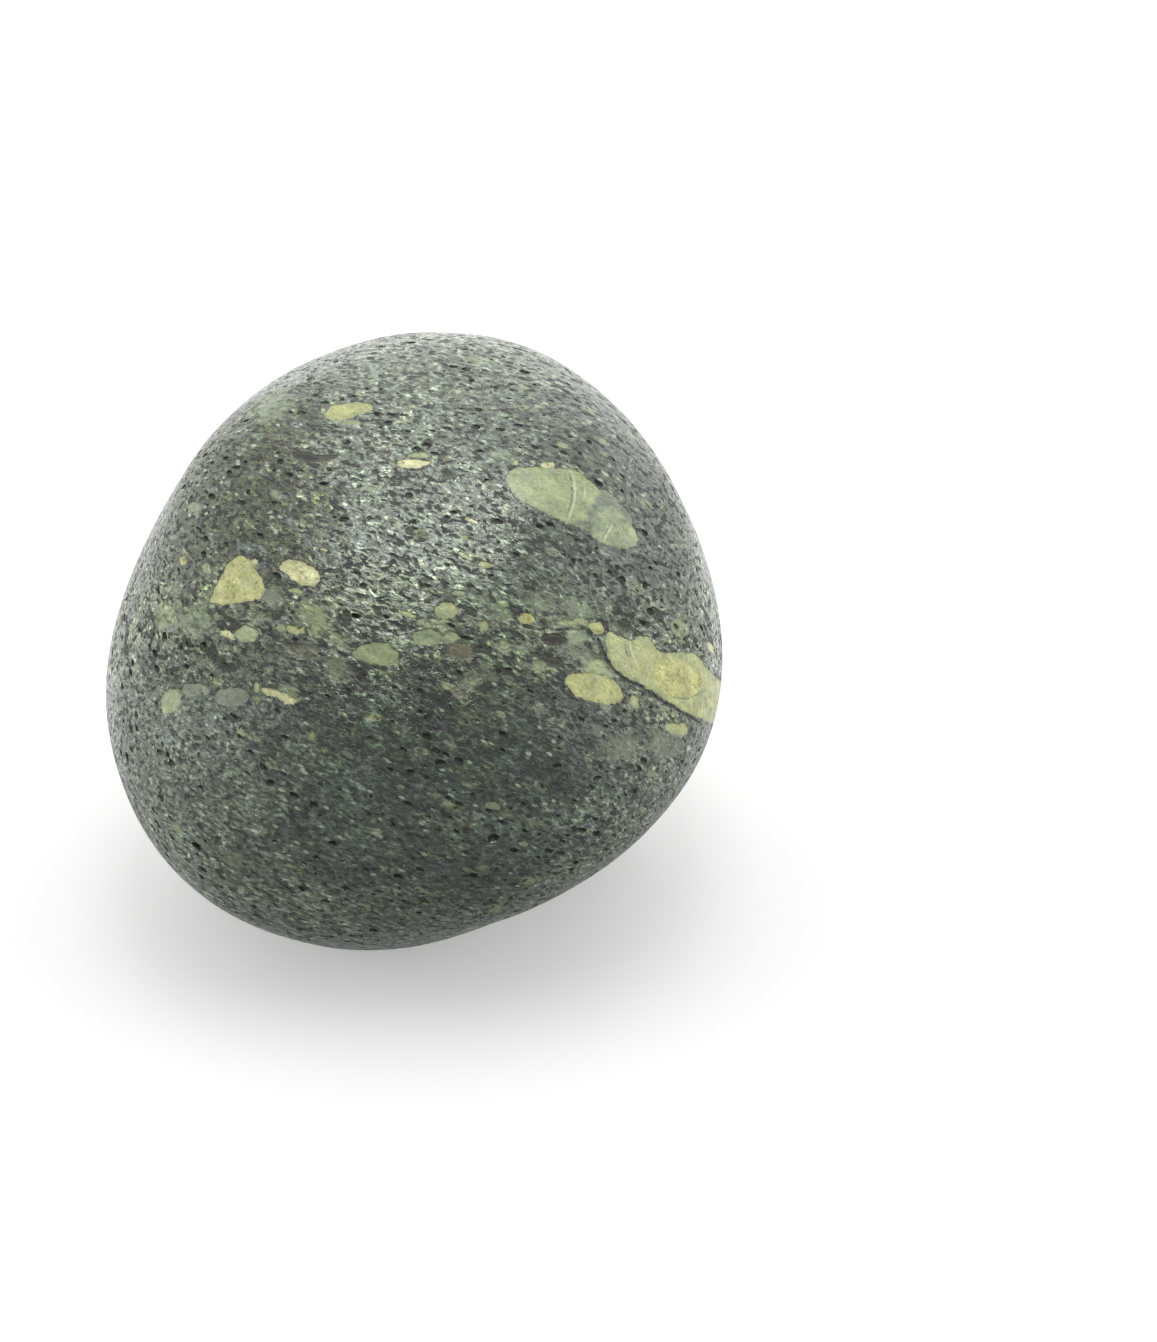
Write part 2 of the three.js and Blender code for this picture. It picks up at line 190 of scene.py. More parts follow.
# The pebbles of the shown face: tone, softness and outline. The later ones lie over the earlier.
SHOWN_PEBBLES = (
    # a saddle of grey green between the long pale pebble and its neighbour
    (SAGE, WORN, ((22.6, 19.2), (24.6, 20.3), (25.9, 19.6), (27.2, 18.2), (28.8, 16.4), (28, 15),
                  (24, 14.6), (22.2, 15.0), (20.8, 15.6))),
    # the long pale pebble
    (PALE_GREEN, CRISP, ((12.2, 21.2), (12.4, 22.3), (13.6, 23.1), (17.5, 22.9), (20.3, 22.9),
                         (21.8, 22.2), (23.2, 21.1), (24.7, 19.8), (23.6, 18.6), (23.2, 17.1),
                         (22.1, 16.1), (20.2, 15.8), (18.6, 16.6), (15.2, 18.3), (13.4, 19.2))),
    # its neighbour
    (0.54, WORN, ((23.9, 17.3), (25.0, 17.9), (26.4, 17.8), (27.4, 16.6), (28.9, 15.0),
                  (29.5, 13.6), (28.6, 12.6), (26.8, 12.7), (25.0, 13.2), (23.8, 13.8),
                  (23.3, 14.8), (23.7, 15.8))),
    (CREAM, CRISP, lens(13.2, 23.8, 1.2, 0.6, -25)),
    (CREAM, CRISP, lens(17.6, 23.4, 1.8, 0.7, -6)),
    # the broad yellow pebble that runs round the right side
    (YELLOW_GREEN, CRISP, ((25.2, 0.4), (25.4, 1.9), (27.0, 1.1), (28.6, 0.4), (30.1, 1.3),
                           (31.1, 0.6), (32.2, -1.2), (34.5, -1.0), (37.0, -1.2), (38.3, -3.2),
                           (40.4, -5.0), (45, -8.6), (45, -12.6), (40.8, -10.9), (36.2, -9.0),
                           (33.4, -7.4), (30.2, -5.2), (27.3, -3.9), (26.0, -2.5), (25.4, -1.2))),
    (YELLOW, FADED, ((32.2, -2.4), (35.5, -2.2), (37.8, -4.0), (37.9, -6.0), (35.4, -6.9),
                     (32.8, -6.4), (31.2, -4.6))),
    # the yellow lens beside it
    (0.81, CRISP, ((19.9, -3.9), (22.8, -3.6), (24.4, -3.8), (26.8, -5.0), (27.5, -7.0),
                   (26.6, -7.6), (25.2, -7.8), (22.0, -6.9), (20.6, -6.0), (20.1, -5.0))),
    (PALE_GREEN, FADED, ((22.0, -3.2), (23.2, -1.6), (24.6, -1.8), (26.6, -4.2), (23.2, -3.8))),
    (YELLOW_GREEN, WORN, lens(28.9, -7.4, 1.2, 1.9, 20)),
    (YELLOW_GREEN, CRISP, ((32.9, -10.2), (34.2, -10.4), (35.6, -10.2), (35.9, -11.2),
                           (35.2, -11.9), (33.8, -11.9), (33.0, -11.1))),
    (YELLOW_GREEN, FADED, lens(20.8, 2.9, 4.0, 0.8, -2)),
    (YELLOW, CRISP, ((22.7, 2.7), (24.2, 3.0), (25.0, 2.2), (24.6, 1.4), (23.6, 1.5))),
    (YELLOW, WORN, lens(14.9, 3.4, 2.1, 1.3, -8)),
    (MOSS, FADED, lens(21.4, 1.2, 3.0, 1.9, -14)),
    (PALE_GREEN, FADED, lens(16.5, -2.9, 2.0, 1.8, -35)),
    (DARK, WORN, lens(18.4, 0.6, 3.6, 1.4, -4)),
    (DARK, WORN, ((14.9, -0.8), (17.2, -1.5), (19.6, -1.9), (19.4, -2.9), (17.8, -2.7),
                  (16.2, -1.7))),
    (DARK, WORN, lens(27.6, 2.6, 2.0, 1.0, -16)),
    (DARK, WORN, lens(30.1, 2.8, 1.8, 0.6, -24)),
    (CREAM, CRISP, lens(38.8, -0.4, 0.6, 1.6, 18)),
    (SAGE, MISTY, lens(27.4, -13.4, 6.0, 3.0, 8)),
    (SAGE, MISTY, lens(32.8, -13.0, 4.6, 3.6, 4)),
    (MOSS, MISTY, lens(22.0, -1.4, 3.6, 1.8, -10)),
    (MOSS, MISTY, lens(16.4, 5.5, 4.4, 2.0, -18)),
    (0.36, MISTY, lens(21.2, 4.8, 5.0, 2.4, -14)),
    (MOSS, FADED, lens(11.8, -0.2, 2.4, 1.7, -22)),
    (0.36, MISTY, lens(11.4, 3.8, 3.4, 2.0, -10)),
    (DARK, MISTY, lens(15.3, -11.2, 3.0, 2.0, -10)),
    # the yellow wedge on the left and the lens beside it
    (YELLOW, CRISP, ((-26.5, 5.6), (-25.4, 7.6), (-24.2, 10.4), (-22.6, 11.6), (-21.3, 11.3),
                     (-20.6, 9.9), (-19.5, 8.5), (-19.0, 7.2), (-19.8, 6.2), (-20.8, 5.7),
                     (-22.4, 5.6), (-24.4, 5.2))),
    (0.74, MISTY, lens(-21.6, 8.0, 2.2, 1.6, -50)),
    (SAGE, FADED, lens(-18.1, 6.4, 2.8, 3.0, -20)),
    (0.98, CRISP, ((-17.5, 10.1), (-16.6, 10.9), (-15.4, 11.1), (-14.3, 10.8), (-12.1, 9.3),
                   (-12.1, 8.3), (-12.8, 7.7), (-14.5, 7.8), (-15.6, 8.5), (-16.6, 9.5))),
    (CREAM, CRISP, lens(-20.5, 10.8, 0.9, 0.7, 0)),
    (PALE_GREEN, WORN, lens(-15.2, 7.0, 2.0, 0.6, -8)),
    (PALE_GREEN, MISTY, lens(-12.8, 3.6, 3.2, 5.0, 24)),
    (YELLOW, WORN, lens(-29.8, 10.9, 0.8, 1.1, 0)),
    (PALE_GREEN, MISTY, lens(-32.0, 3.8, 2.8, 3.4, 20)),
    (YELLOW_GREEN, WORN, ((-16.6, 2.6), (-15.6, 2.5), (-14.8, 2.1), (-13.7, 2.1), (-13.8, 1.6),
                          (-15.2, 1.4), (-16.2, 1.8))),
    (PALE_GREEN, WORN, ((-23.2, 1.7), (-22.2, 2.4), (-21.0, 2.5), (-20.2, 1.9), (-20.0, 1.1),
                        (-20.8, 0.5), (-22.2, 0.5), (-23.0, 1.0))),
    (CREAM, CRISP, ((-25.0, 1.8), (-24.2, 1.9), (-23.4, 1.3), (-23.0, 0.7), (-23.5, 0.7),
                    (-24.2, 1.2), (-24.9, 1.3))),
    (DUSK, FADED, lens(-14.2, -1.0, 3.8, 2.0, -12)),
    (MOSS, FADED, lens(-19.8, 3.4, 2.6, 1.0, 10)),
    # the pale lens near the middle and what lies round it
    (PALE_GREEN, WORN, ((-8.0, -1.0), (-6.8, -0.1), (-5.0, 0.2), (-3.3, 0.1), (-2.3, -0.6),
                        (-1.6, -1.7), (-2.1, -2.6), (-3.6, -2.7), (-5.6, -2.4), (-7.2, -1.8))),
    (YELLOW_GREEN, FADED, lens(-9.2, 0.8, 2.2, 1.4, -18)),
    (0.66, WORN, ((2.8, 4.6), (3.7, 5.5), (5.1, 5.5), (6.0, 4.7), (5.6, 3.6), (4.2, 3.4),
                  (3.0, 3.9))),
    (YELLOW_GREEN, WORN, lens(4.2, 3.1, 1.7, 0.5, -4)),
    (0.5, WORN, lens(2.0, 1.0, 4.2, 2.2, -2)),
    (0.5, WORN, lens(4.9, 1.0, 2.1, 1.5, 6)),
    (YELLOW_GREEN, CRISP, lens(-0.6, 4.0, 2.6, 0.5, -20)),
    (PALE_GREEN, FADED, lens(1.4, 2.9, 1.3, 0.9, -20)),
    (PALE_GREEN, WORN, lens(6.0, 6.7, 1.9, 0.8, -6)),
    (MOSS, FADED, lens(9.0, 6.1, 2.2, 1.6, -30)),
    (DUSK, FADED, lens(6.4, -0.8, 3.8, 2.4, -24)),
    (0.66, WORN, lens(9.3, 2.5, 1.2, 1.4, 10)),
    (MOSS, FADED, lens(7.5, -4.8, 2.8, 1.2, -18)),
    (DUSK, FADED, lens(6.3, -6.5, 2.8, 1.5, -16)),
    (YELLOW_GREEN, FADED, lens(-5.2, -9.3, 1.8, 1.1, -10)),
    (MOSS, MISTY, lens(-9.8, -3.0, 3.0, 3.4, 10)),
    (DUSK, FADED, lens(9.2, -4.0, 2.2, 1.0, -14)),
    (YELLOW_GREEN, CRISP, lens(7.0, 11.5, 2.6, 0.45, -28)),
    (YELLOW_GREEN, CRISP, lens(9.6, 10.4, 2.4, 0.6, -6)),
    # the chain of lenses on the lower left
    (PALE_GREEN, WORN, ((-32.4, -6.4), (-31.2, -5.7), (-30.2, -6.1), (-30.1, -7.6), (-31.2, -8.6),
                        (-32.3, -8.9), (-32.7, -7.6))),
    (SAGE, WORN, lens(-28.6, -5.8, 3.0, 1.7, 8)),
    (MOSS, WORN, lens(-26.9, -5.9, 0.9, 1.1, 0)),
    (SAGE, WORN, ((-25.6, -6.4), (-24.8, -5.6), (-22.4, -5.6), (-21.1, -6.4), (-21.6, -7.4),
                  (-23, -7.9), (-24.8, -7.8), (-25.6, -7.2))),
    (YELLOW_GREEN, FADED, lens(-25.4, -4.9, 1.5, 0.7, 0)),
    (YELLOW_GREEN, WORN, lens(-20.2, -5.6, 0.6, 1.2, 0)),
    (YELLOW_GREEN, FADED, lens(-20.3, -7.2, 0.8, 0.8, 0)),
    (CREAM, WORN, ((-19.7, -5.5), (-18.3, -5.8), (-16.8, -6.2), (-15.6, -6.8), (-14.9, -7.6),
                   (-16.2, -7.7), (-17.4, -6.9), (-19.2, -6.3))),
    (YELLOW_GREEN, FADED, lens(-13.0, -12.1, 1.9, 1.4, -20)),
    # the lens under the brow, toned a little darker as painted shadow, and the dark shard beside it
    (0.80, CRISP, ((-11.6, 29.9), (-10.6, 30.9), (-9, 31.3), (-7, 31.5), (-5.4, 31.2), (-5.1, 30.6),
                   (-6.4, 30.2), (-8, 29.6), (-9.5, 29.1), (-10.8, 29.3))),
    (PALE_GREEN, WORN, lens(-8.0, 28.9, 2.6, 0.6, 2)),
    (DARK, CRISP, ((-15.5, 25.1), (-13.5, 25.0), (-12.2, 24.5), (-10.0, 24.6), (-10.0, 24.3),
                   (-12.4, 23.8), (-14.2, 23.8), (-15.3, 24.4))),
    (CREAM, CRISP, ((-2.4, 23.7), (-0.8, 24.2), (1.0, 24.0), (2.6, 23.6), (1.0, 23.1),
                    (-1.2, 22.9))),
    (PALE_GREEN, WORN, lens(0.8, 24.6, 2.8, 0.6, 0)),
    (CREAM, CRISP, lens(7.7, 16.1, 1.9, 0.45, -18)),
    (PALE_GREEN, FADED, lens(1.2, 14.3, 2.2, 1.3, 0)),
    (DARK, FADED, lens(4.6, 22.3, 2.4, 1.2, -14)),
    (YELLOW_GREEN, FADED, lens(7.2, 14.0, 1.8, 0.8, 0)),
    (MOSS, MISTY, lens(-18.0, 31.0, 6.0, 3.4, 30)),
    (MOSS, MISTY, lens(11.8, 24.4, 3.2, 2.0, -20)),
    (CREAM, CRISP, lens(-11.4, 12.4, 1.0, 0.4, -12)),
    (MOSS, MISTY, lens(-28.2, 3.0, 5.0, 3.6, 0)),
)

# Fine cracks of the shown face, each with its width, and pale veins beside some of them.
CRACKS = (
    (0.24, ((20.35, 22.7), (20.7, 21.0), (20.8, 19.6), (20.6, 18.2), (20.2, 17.0), (19.8, 15.9))),
    (0.16, ((25.9, 16.2), (25.5, 15.2), (24.9, 14.2), (24.6, 13.3))),
    (0.42, ((24.0, 1.2), (24.7, -0.8), (25.4, -2.4), (26.6, -3.7), (28.0, -4.7), (29.8, -5.5),
            (31.4, -6.8), (33.4, -7.9), (35.4, -9.0), (37.4, -10.2))),
    (0.20, ((33.0, -6.7), (34.6, -7.0), (35.8, -7.1), (36.8, -6.6), (38.4, -5.9))),
    (0.16, ((12.6, 3.0), (14.5, 2.5), (17.0, 2.0), (20.2, 2.0), (22.8, 2.0), (25.0, 1.5))),
    (0.14, ((27.4, 0.7), (27.9, -1.4), (28.6, -3.6))),
    (0.22, ((-21.6, -9.6), (-22.9, -9.9), (-24.0, -10.4))),
    (0.26, ((18.9, -5.0), (19.8, -6.4), (21.4, -7.3), (23.4, -7.8))),
)
VEINS = (
    (0.30, ((20.75, 22.6), (21.1, 21.0), (21.2, 19.6), (21.0, 18.2), (20.6, 17.0), (20.2, 16.0))),
    (0.22, ((26.2, 16.2), (25.8, 15.2), (25.2, 14.2), (24.9, 13.3))),
    (0.18, ((12.0, 2.9), (14.5, 2.1), (17.0, 1.6), (20.0, 1.7), (22.6, 1.7))),
    (0.20, ((22.2, 21.6), (22.5, 20.2), (22.2, 18.6))),
    (0.30, ((28.2, 0.6), (28.6, -1.2), (29.4, -3.0))),
)
CRACK_DEPTH = 0.4  # of the crack's width
THIN_END = 0.25  # how much of its width a crack or a vein still has at its very end
ROUND_THE_RIM = 4.5  # how far a mark carries on out of sight past the rim
RIM_TAPER = 4.0  # how long before that a pebble starts to narrow
RIM_PINCH = 0.6  # how much it narrows on each side for every millimetre of that
HALF_WIDTH = 40  # of the stone, roughly, to tell how far from the rim a place is
NEARBY = 1.6  # how far out from a mark the skin still takes note of it
CORNER_WEAR = 0.22  # how much of each side is worn off a corner, in either round of wear


def rounded(outline):
    """The outline with its corners worn down."""
    for _ in range(2):
        following = outline[1:] + outline[:1]
        outline = [
            (a[0] + (b[0] - a[0]) * share, a[1] + (b[1] - a[1]) * share)
            for a, b in zip(outline, following)
            for share in (CORNER_WEAR, 1 - CORNER_WEAR)
        ]
    return outline


def along_segment(points, start, end):
    """How far along a segment each point is nearest to it, from 0 to 1, and how far away it is."""
    run = end - start
    share = np.clip((points - start) @ run / (run @ run), 0, 1)
    return share, np.linalg.norm(points - start - share[:, None] * run, axis=1)


def depth_in_outline(points, outline):
    """How far inside an outline each point is; outside, less than nothing."""
    corners = np.array(rounded(list(outline)))
    nearest = np.full(len(points), np.inf)
    inside = np.zeros(len(points), bool)
    for start, end in zip(corners, np.roll(corners, -1, axis=0)):
        nearest = np.minimum(nearest, along_segment(points, start, end)[1])
        spans = (start[1] > points[:, 1]) != (end[1] > points[:, 1])
        rise = end[1] - start[1] or 1e-9  # a level side is never crossed
        crossing = start[0] + (points[:, 1] - start[1]) * (end[0] - start[0]) / rise
        inside ^= spans & (points[:, 0] < crossing)
    return np.where(inside, nearest, -nearest)


def depth_in_line(points, width, route):
    """How far inside a line of this width each point is; the line thins out at its ends."""
    corners = np.array(route)
    lengths = np.linalg.norm(np.diff(corners, axis=0), axis=1)
    starts = np.concatenate(([0], np.cumsum(lengths)))
    depth = np.full(len(points), -np.inf)
    for start, end, length, before in zip(corners, corners[1:], lengths, starts):
        share, away = along_segment(points, start, end)
        travelled = before + share * length
        to_end = np.minimum(travelled, starts[-1] - travelled)
        depth = np.maximum(depth, width / 2 * np.minimum(1, THIN_END + to_end) - away)
    return depth


def near(points, outline):
    """Which points may lie near enough to an outline or a line to take note of it."""
    corners = np.array(outline)
    inside = (points > corners.min(axis=0) - NEARBY) & (points < corners.max(axis=0) + NEARBY)
    return np.flatnonzero(inside.all(axis=1))


def lines_on_face(face, reach, lines):
    """For each of these lines: which points are near it, how deep in it they lie, and its width."""
    for width, route in lines:
        where = near(face, route)
        yield where, np.minimum(depth_in_line(face[where], width, route), reach[where]), width


# ---- Pebbles strewn through the rest -------------------------------------------------------------

BED_FACING = unit(np.array((0.05, 0.50, 0.865)))  # square to the beds
BED_LEVELS = (-11, 9)  # of the pebbly bed, along that way, from the middle of the stone
STREWN_PEBBLES = 330  # places for them all over the stone, most of which stay empty
PEBBLE_WANDER = 0.2  # how far a strewn pebble strays from its even place, as a share of the radius
STREWN_FROM = -0.1  # the cosine of how far round from the shown face's middle they begin
LOOSE_SHARE = 0.45  # how many of the places outside the pebbly bed have a pebble
BED_PEBBLE_LENGTH = (1.6, 7.5)
LOOSE_PEBBLE_LENGTH = (1.2, 3.4)  # outside the pebbly bed
PEBBLE_DEPTH = (0.975, 1)  # how far out its middle lies, as a share of the way to the skin
PEBBLE_SMALLNESS = 2.2  # above 1, most of them are near the least length
PEBBLE_WIDTH = (0.55, 0.95)  # of its length
PEBBLE_THICKNESS = (0.32, 0.62)  # of its length
UNEVENNESS = 0.08  # how far a strewn pebble strays from a regular oval, as a share of its size
# The two ways that the bumps of its edge run, and how they shift with its length.
BUMPS = (((3.3, 1.4, 0.8), 7), ((-1.5, 3.1, 2.3), 5))
STREWN_TONES = (
    SAGE, MOSS, PALE_GREEN, SAGE, YELLOW_GREEN, MOSS, DUSK, PALE_GREEN, SAGE, YELLOW, DARK
)
# The larger pebbles of the sides and back: azimuth and elevation from the middle, length, tone.
LARGE_PEBBLES = (
    (186, 9, 6.5, YELLOW),
    (176, -3, 4.4, PALE_GREEN),
    (160, -7, 8.5, YELLOW_GREEN),
    (146, -19, 4.8, YELLOW),
    (128, -22, 9.5, PALE_GREEN),
    (108, -30, 5.4, YELLOW_GREEN),
    (86, -27, 8.0, YELLOW),
    (64, -32, 4.6, PALE_GREEN),
    (44, -23, 9.0, YELLOW_GREEN),
    (22, -14, 4.8, YELLOW),
    (98, 26, 6.4, PALE_GREEN),
    (142, 38, 4.2, YELLOW_GREEN),
    (34, 36, 5.2, YELLOW),
    (192, -34, 4.4, PALE_GREEN),
)


def stray(index, kind):
    """A repeatable stray number between 0 and 1."""
    value = math.sin(index * 127.1 + kind * 311.7) * 43758.5453
    return value - math.floor(value)


def between(limits, share):
    """What lies this share of the way from the first limit to the second: a number or a wire."""
    return limits[0] + (limits[1] - limits[0]) * share


def even_direction(index, count, wander):
    """Even places over the whole stone, on a spiral from the top to the foot, each strayed a little."""
    height = 1 - (2 * index + 1) / count
    turn = index * math.pi * (3 - math.sqrt(5))  # the golden angle
    level = math.sqrt(1 - height * height)
    direction = np.array((level * math.cos(turn), level * math.sin(turn), height))
    strayed = np.array([stray(index, kind) - 0.5 for kind in (1, 2, 3)])
    return unit(direction + strayed * 2 * wander)


def lying_in_beds(index, length):
    """The axes of a flat pebble that lies in the beds, each over its half length."""
    turn = math.radians(360 * stray(index, 7))
    run = unit(np.cross(BED_FACING, (math.cos(turn), math.sin(turn), 0)))
    cross = np.cross(BED_FACING, run)
    width = length * between(PEBBLE_WIDTH, stray(index, 8))
    thickness = length * between(PEBBLE_THICKNESS, stray(index, 9))
    return np.array((run / (length / 2), cross / (width / 2), BED_FACING / (thickness / 2)))


def strewn_pebbles():
    """Flat pebbles out of sight of the shown face: middle, axes, length, tone."""
    for index in range(STREWN_PEBBLES):
        direction = even_direction(index, STREWN_PEBBLES, PEBBLE_WANDER)
        if direction @ TOWARD_SHOW > STREWN_FROM:
            continue
        middle = surface_along(direction[None])[0] * between(PEBBLE_DEPTH, stray(index, 4))
        in_bed = BED_LEVELS[0] < middle @ BED_FACING < BED_LEVELS[1]
        if not in_bed and stray(index, 5) > LOOSE_SHARE:
            continue
        limits = BED_PEBBLE_LENGTH if in_bed else LOOSE_PEBBLE_LENGTH
        length = between(limits, stray(index, 6) ** PEBBLE_SMALLNESS)
        tone = STREWN_TONES[int(stray(index, 10) * len(STREWN_TONES))]
        yield middle, lying_in_beds(index, length), length, tone
    for index, (azimuth, elevation, length, tone) in enumerate(LARGE_PEBBLES, STREWN_PEBBLES):
        middle = surface_along(heading(azimuth, elevation)[None])[0]
        yield middle, lying_in_beds(index, length), length, tone


class Marks:
    """How deep each point of the skin lies in a pebble, a crack or a vein."""

    FAR = 9.0  # how far outside every mark a place is, as long as none is found near it

    def __init__(self, points):
        self.pebble = np.full(len(points), -self.FAR)
        self.tone = np.zeros(len(points))
        self.softness = np.full(len(points), WORN)
        self.crack = np.full(len(points), -self.FAR)
        self.crack_width = np.zeros(len(points))
        self.vein = np.full(len(points), -self.FAR)
        for middle, axes, length, tone in strewn_pebbles():
            self.lay_strewn(points, middle, axes, length, tone)
        face = laid_out(points)
        reach = unit(points) @ TOWARD_SHOW * HALF_WIDTH + ROUND_THE_RIM
        for tone, softness, outline in SHOWN_PEBBLES:
            where = near(face, outline)
            narrowed = np.maximum(0, RIM_TAPER - reach[where]) * RIM_PINCH
            depth = np.minimum(depth_in_outline(face[where], outline) - narrowed, reach[where])
            self.lay(where, depth, tone, softness)
        for where, depth, width in lines_on_face(face, reach, CRACKS):
            self.crack_width[where[depth > self.crack[where]]] = width
            self.crack[where] = np.maximum(self.crack[where], depth)
        for where, depth, _ in lines_on_face(face, reach, VEINS):
            self.vein[where] = np.maximum(self.vein[where], depth)

    def lay(self, where, depth, tone, softness):
        """Lays a pebble over those that are already there."""
        over = np.clip(depth / softness + 0.5, 0, 1)
        taken = np.where(self.pebble[where] > 0, over, depth > self.pebble[where])
        self.tone[where] += (tone - self.tone[where]) * taken
        self.softness[where] = np.where(depth > self.pebble[where], softness, self.softness[where])
        self.pebble[where] = np.maximum(self.pebble[where], depth)

    def lay_strewn(self, points, middle, axes, length, tone):
        """Lays a flat pebble of this length, whose axes are given each over its half length."""
        offset = points - middle
        where = np.flatnonzero((offset * offset).sum(axis=1) < (length / 2 + NEARBY) ** 2)
        scaled = offset[where] @ axes.T
        bumps = sum(np.sin(scaled @ run + length * shift) for run, shift in BUMPS)
        reach = np.maximum(np.linalg.norm(scaled, axis=1) + UNEVENNESS * bumps, 1e-6)
        steepness = np.linalg.norm(scaled @ axes, axis=1) / reach
        depth = (1 - reach) / np.maximum(steepness, 1e-6)
        self.lay(where, np.minimum(depth, length / 2), tone, WORN)

    def near_an_edge(self, margin):
        """Which points lie this near to where a crisp pebble, a crack or a vein ends."""
        crisp = self.softness < FADED
        edge = crisp & (np.abs(self.pebble) < margin)
        return edge | (self.crack > -margin) | (self.vein > -margin)


# ---- The skin ------------------------------------------------------------------------------------

REFINED_WITHIN = (1.6, 0.8, 0.32)  # how near a mark's edge the faces are made finer, round by round


def worn_skin():
    """The whole worn form, with finer faces where a pebble, a crack or a vein ends."""
    shape = bmesh.new()
    bmesh.ops.create_icosphere(shape, subdivisions=SKIN_SUBDIVISIONS, radius=1)
    press_on_skin(shape)
    for margin in REFINED_WITHIN:
        fine = Marks(vertex_places(shape)).near_an_edge(margin)
        edges = [edge for edge in shape.edges if fine[edge.verts[0].index] or fine[edge.verts[1].index]]
        bmesh.ops.subdivide_edges(shape, edges=edges, cuts=1, use_grid_fill=True)
        bmesh.ops.triangulate(shape, faces=[face for face in shape.faces if len(face.verts) > 3])
        shape.verts.index_update()
        press_on_skin(shape)
    return shape


def open_cracks(shape):
    """Sinks the skin along each crack."""
    marks = Marks(vertex_places(shape))
    for vertex, inside, width in zip(shape.verts, marks.crack, marks.crack_width):
        if inside > 0:
            sunk = CRACK_DEPTH * width * math.sqrt(inside / (width / 2))
            vertex.co -= vertex.co.normalized() * sunk


# ---- Hollows and pits ----------------------------------------------------------------------------

BEDDING_RUN = heading(0, -14)  # the way the hollows are long
GRAIN_RUN = unit(np.array((0.88, -0.10, -0.46)))  # the way the long grains lie

# The hollows that catch the eye: azimuth, elevation, length and width.
EYE_CATCHING_HOLLOWS = (
    (285, -4, 1.7, 1.3), (299, -5, 2.3, 0.9), (236, -9, 1.5, 1.1), (236, -14, 1.3, 0.9),
    (241, 14, 1.6, 0.7), (231, 23, 1.1, 0.9), (228, 19, 1.2, 0.7), (228, -2, 1.1, 0.7),
    (247, 56, 1.2, 0.7), (249, 17, 1.4, 0.6), (251, 29, 1.5, 0.6), (251, 13, 1.1, 0.8),
    (256, 50, 1.4, 0.8), (259, -5, 1.2, 0.8), (262, 34, 1.5, 0.7), (263, 39, 1.2, 0.8),
    (272, 9, 1.3, 0.8), (274, 50, 1.6, 0.7), (276, 39, 1.2, 0.6), (282, -12, 1.5, 0.9),
    (283, 30, 1.6, 0.6), (290, 24, 1.1, 0.7), (294, 48, 1.7, 0.8), (296, 42, 1.0, 0.6),
    (296, 7, 1.2, 0.8), (299, 62, 1.2, 0.6), (303, 3, 1.6, 0.8), (306, 45, 1.1, 0.6),
    (311, 41, 1.1, 0.6), (320, 24, 1.4, 0.6),
)
STREWN_HOLLOWS = 120  # even places for them, used only on the sides and the back
SHOW_SIDE_REACH = 0.2  # the cosine of how far round from its middle the shown face reaches
HOLLOW_LENGTH = (1.2, 2.2)
HOLLOW_SLENDERNESS = (0.5, 0.85)  # width over length
HOLLOW_DEPTH = 0.6  # depth over width
HOLLOW_WANDER = 0.12  # how far a strewn hollow strays from its even place, as a share of the radius
HOLLOW_RAGGEDNESS = 0.22  # how unevenly a hollow's wall is broken
CLEARANCE = 0.7  # hollows cut at once lie this far apart, as a share of their lengths together
FOOT_MARGIN = 3  # no hollow's middle lies nearer than this above the foot


def hollows():
    """The direction, length and width of every hollow that a lost grain has left."""
    for index in range(STREWN_HOLLOWS):
        direction = even_direction(index, STREWN_HOLLOWS, HOLLOW_WANDER)
        length = between(HOLLOW_LENGTH, stray(index, 4))
        width = length * between(HOLLOW_SLENDERNESS, stray(index, 5))
        if direction @ TOWARD_SHOW < SHOW_SIDE_REACH:
            yield direction, length, width
    for azimuth, elevation, length, width in EYE_CATCHING_HOLLOWS:
        yield heading(azimuth, elevation), length, width


def add_lump(shape, index, place, direction, length, width):
    """A small broken lump, long along the bedding, sunk in the skin."""
    along = unit(BEDDING_RUN - BEDDING_RUN @ direction * direction)
    turn = np.array((along, np.cross(direction, along), direction))
    half = np.array((length / 2, width / 2, width * HOLLOW_DEPTH))
    made = bmesh.ops.create_icosphere(shape, subdivisions=2, radius=1)["verts"]
    for number, vertex in enumerate(made):
        bulge = 1 + HOLLOW_RAGGEDNESS * (2 * stray(index, 10 + number) - 1)
        vertex.co = place + (np.array(vertex.co) * half * bulge) @ turn


def stands_clear(place, length, group):
    """Whether a lump of this length, at this place, is clear of all those in the group."""
    return all(
        np.linalg.norm(place - other) > CLEARANCE * (length + other_length)
        for _, other, _, other_length, _ in group
    )


def hollow_lumps():
    """The lumps that the hollows are cut with, in groups whose members stand clear of each other."""
    groups = []
    for index, (direction, length, width) in enumerate(hollows()):
        place = surface_along(direction[None])[0]
        if place[2] < FOOT_MARGIN - FOOT_BELOW_MIDDLE:
            continue
        group = next((group for group in groups if stands_clear(place, length, group)), None)
        if group is None:
            group = []
            groups.append(group)
        group.append((index, place, direction, length, width))
    for group in groups:
        shape = bmesh.new()
        for lump in group:
            add_lump(shape, *lump)
        yield piece_from(shape, "hollow_lumps")


def piece_from(shape, name):
    mesh = bpy.data.meshes.new(name)
    shape.to_mesh(mesh)
    shape.free()
    piece = bpy.data.objects.new(name, mesh)
    bpy.context.scene.collection.objects.link(piece)
    return piece


def settle(piece):
    """Makes the piece, as its modifiers leave it, a plain mesh."""
    made = piece.evaluated_get(bpy.context.evaluated_depsgraph_get())
    mesh = bpy.data.meshes.new_from_object(made)
    piece.modifiers.clear()
    piece.data = mesh


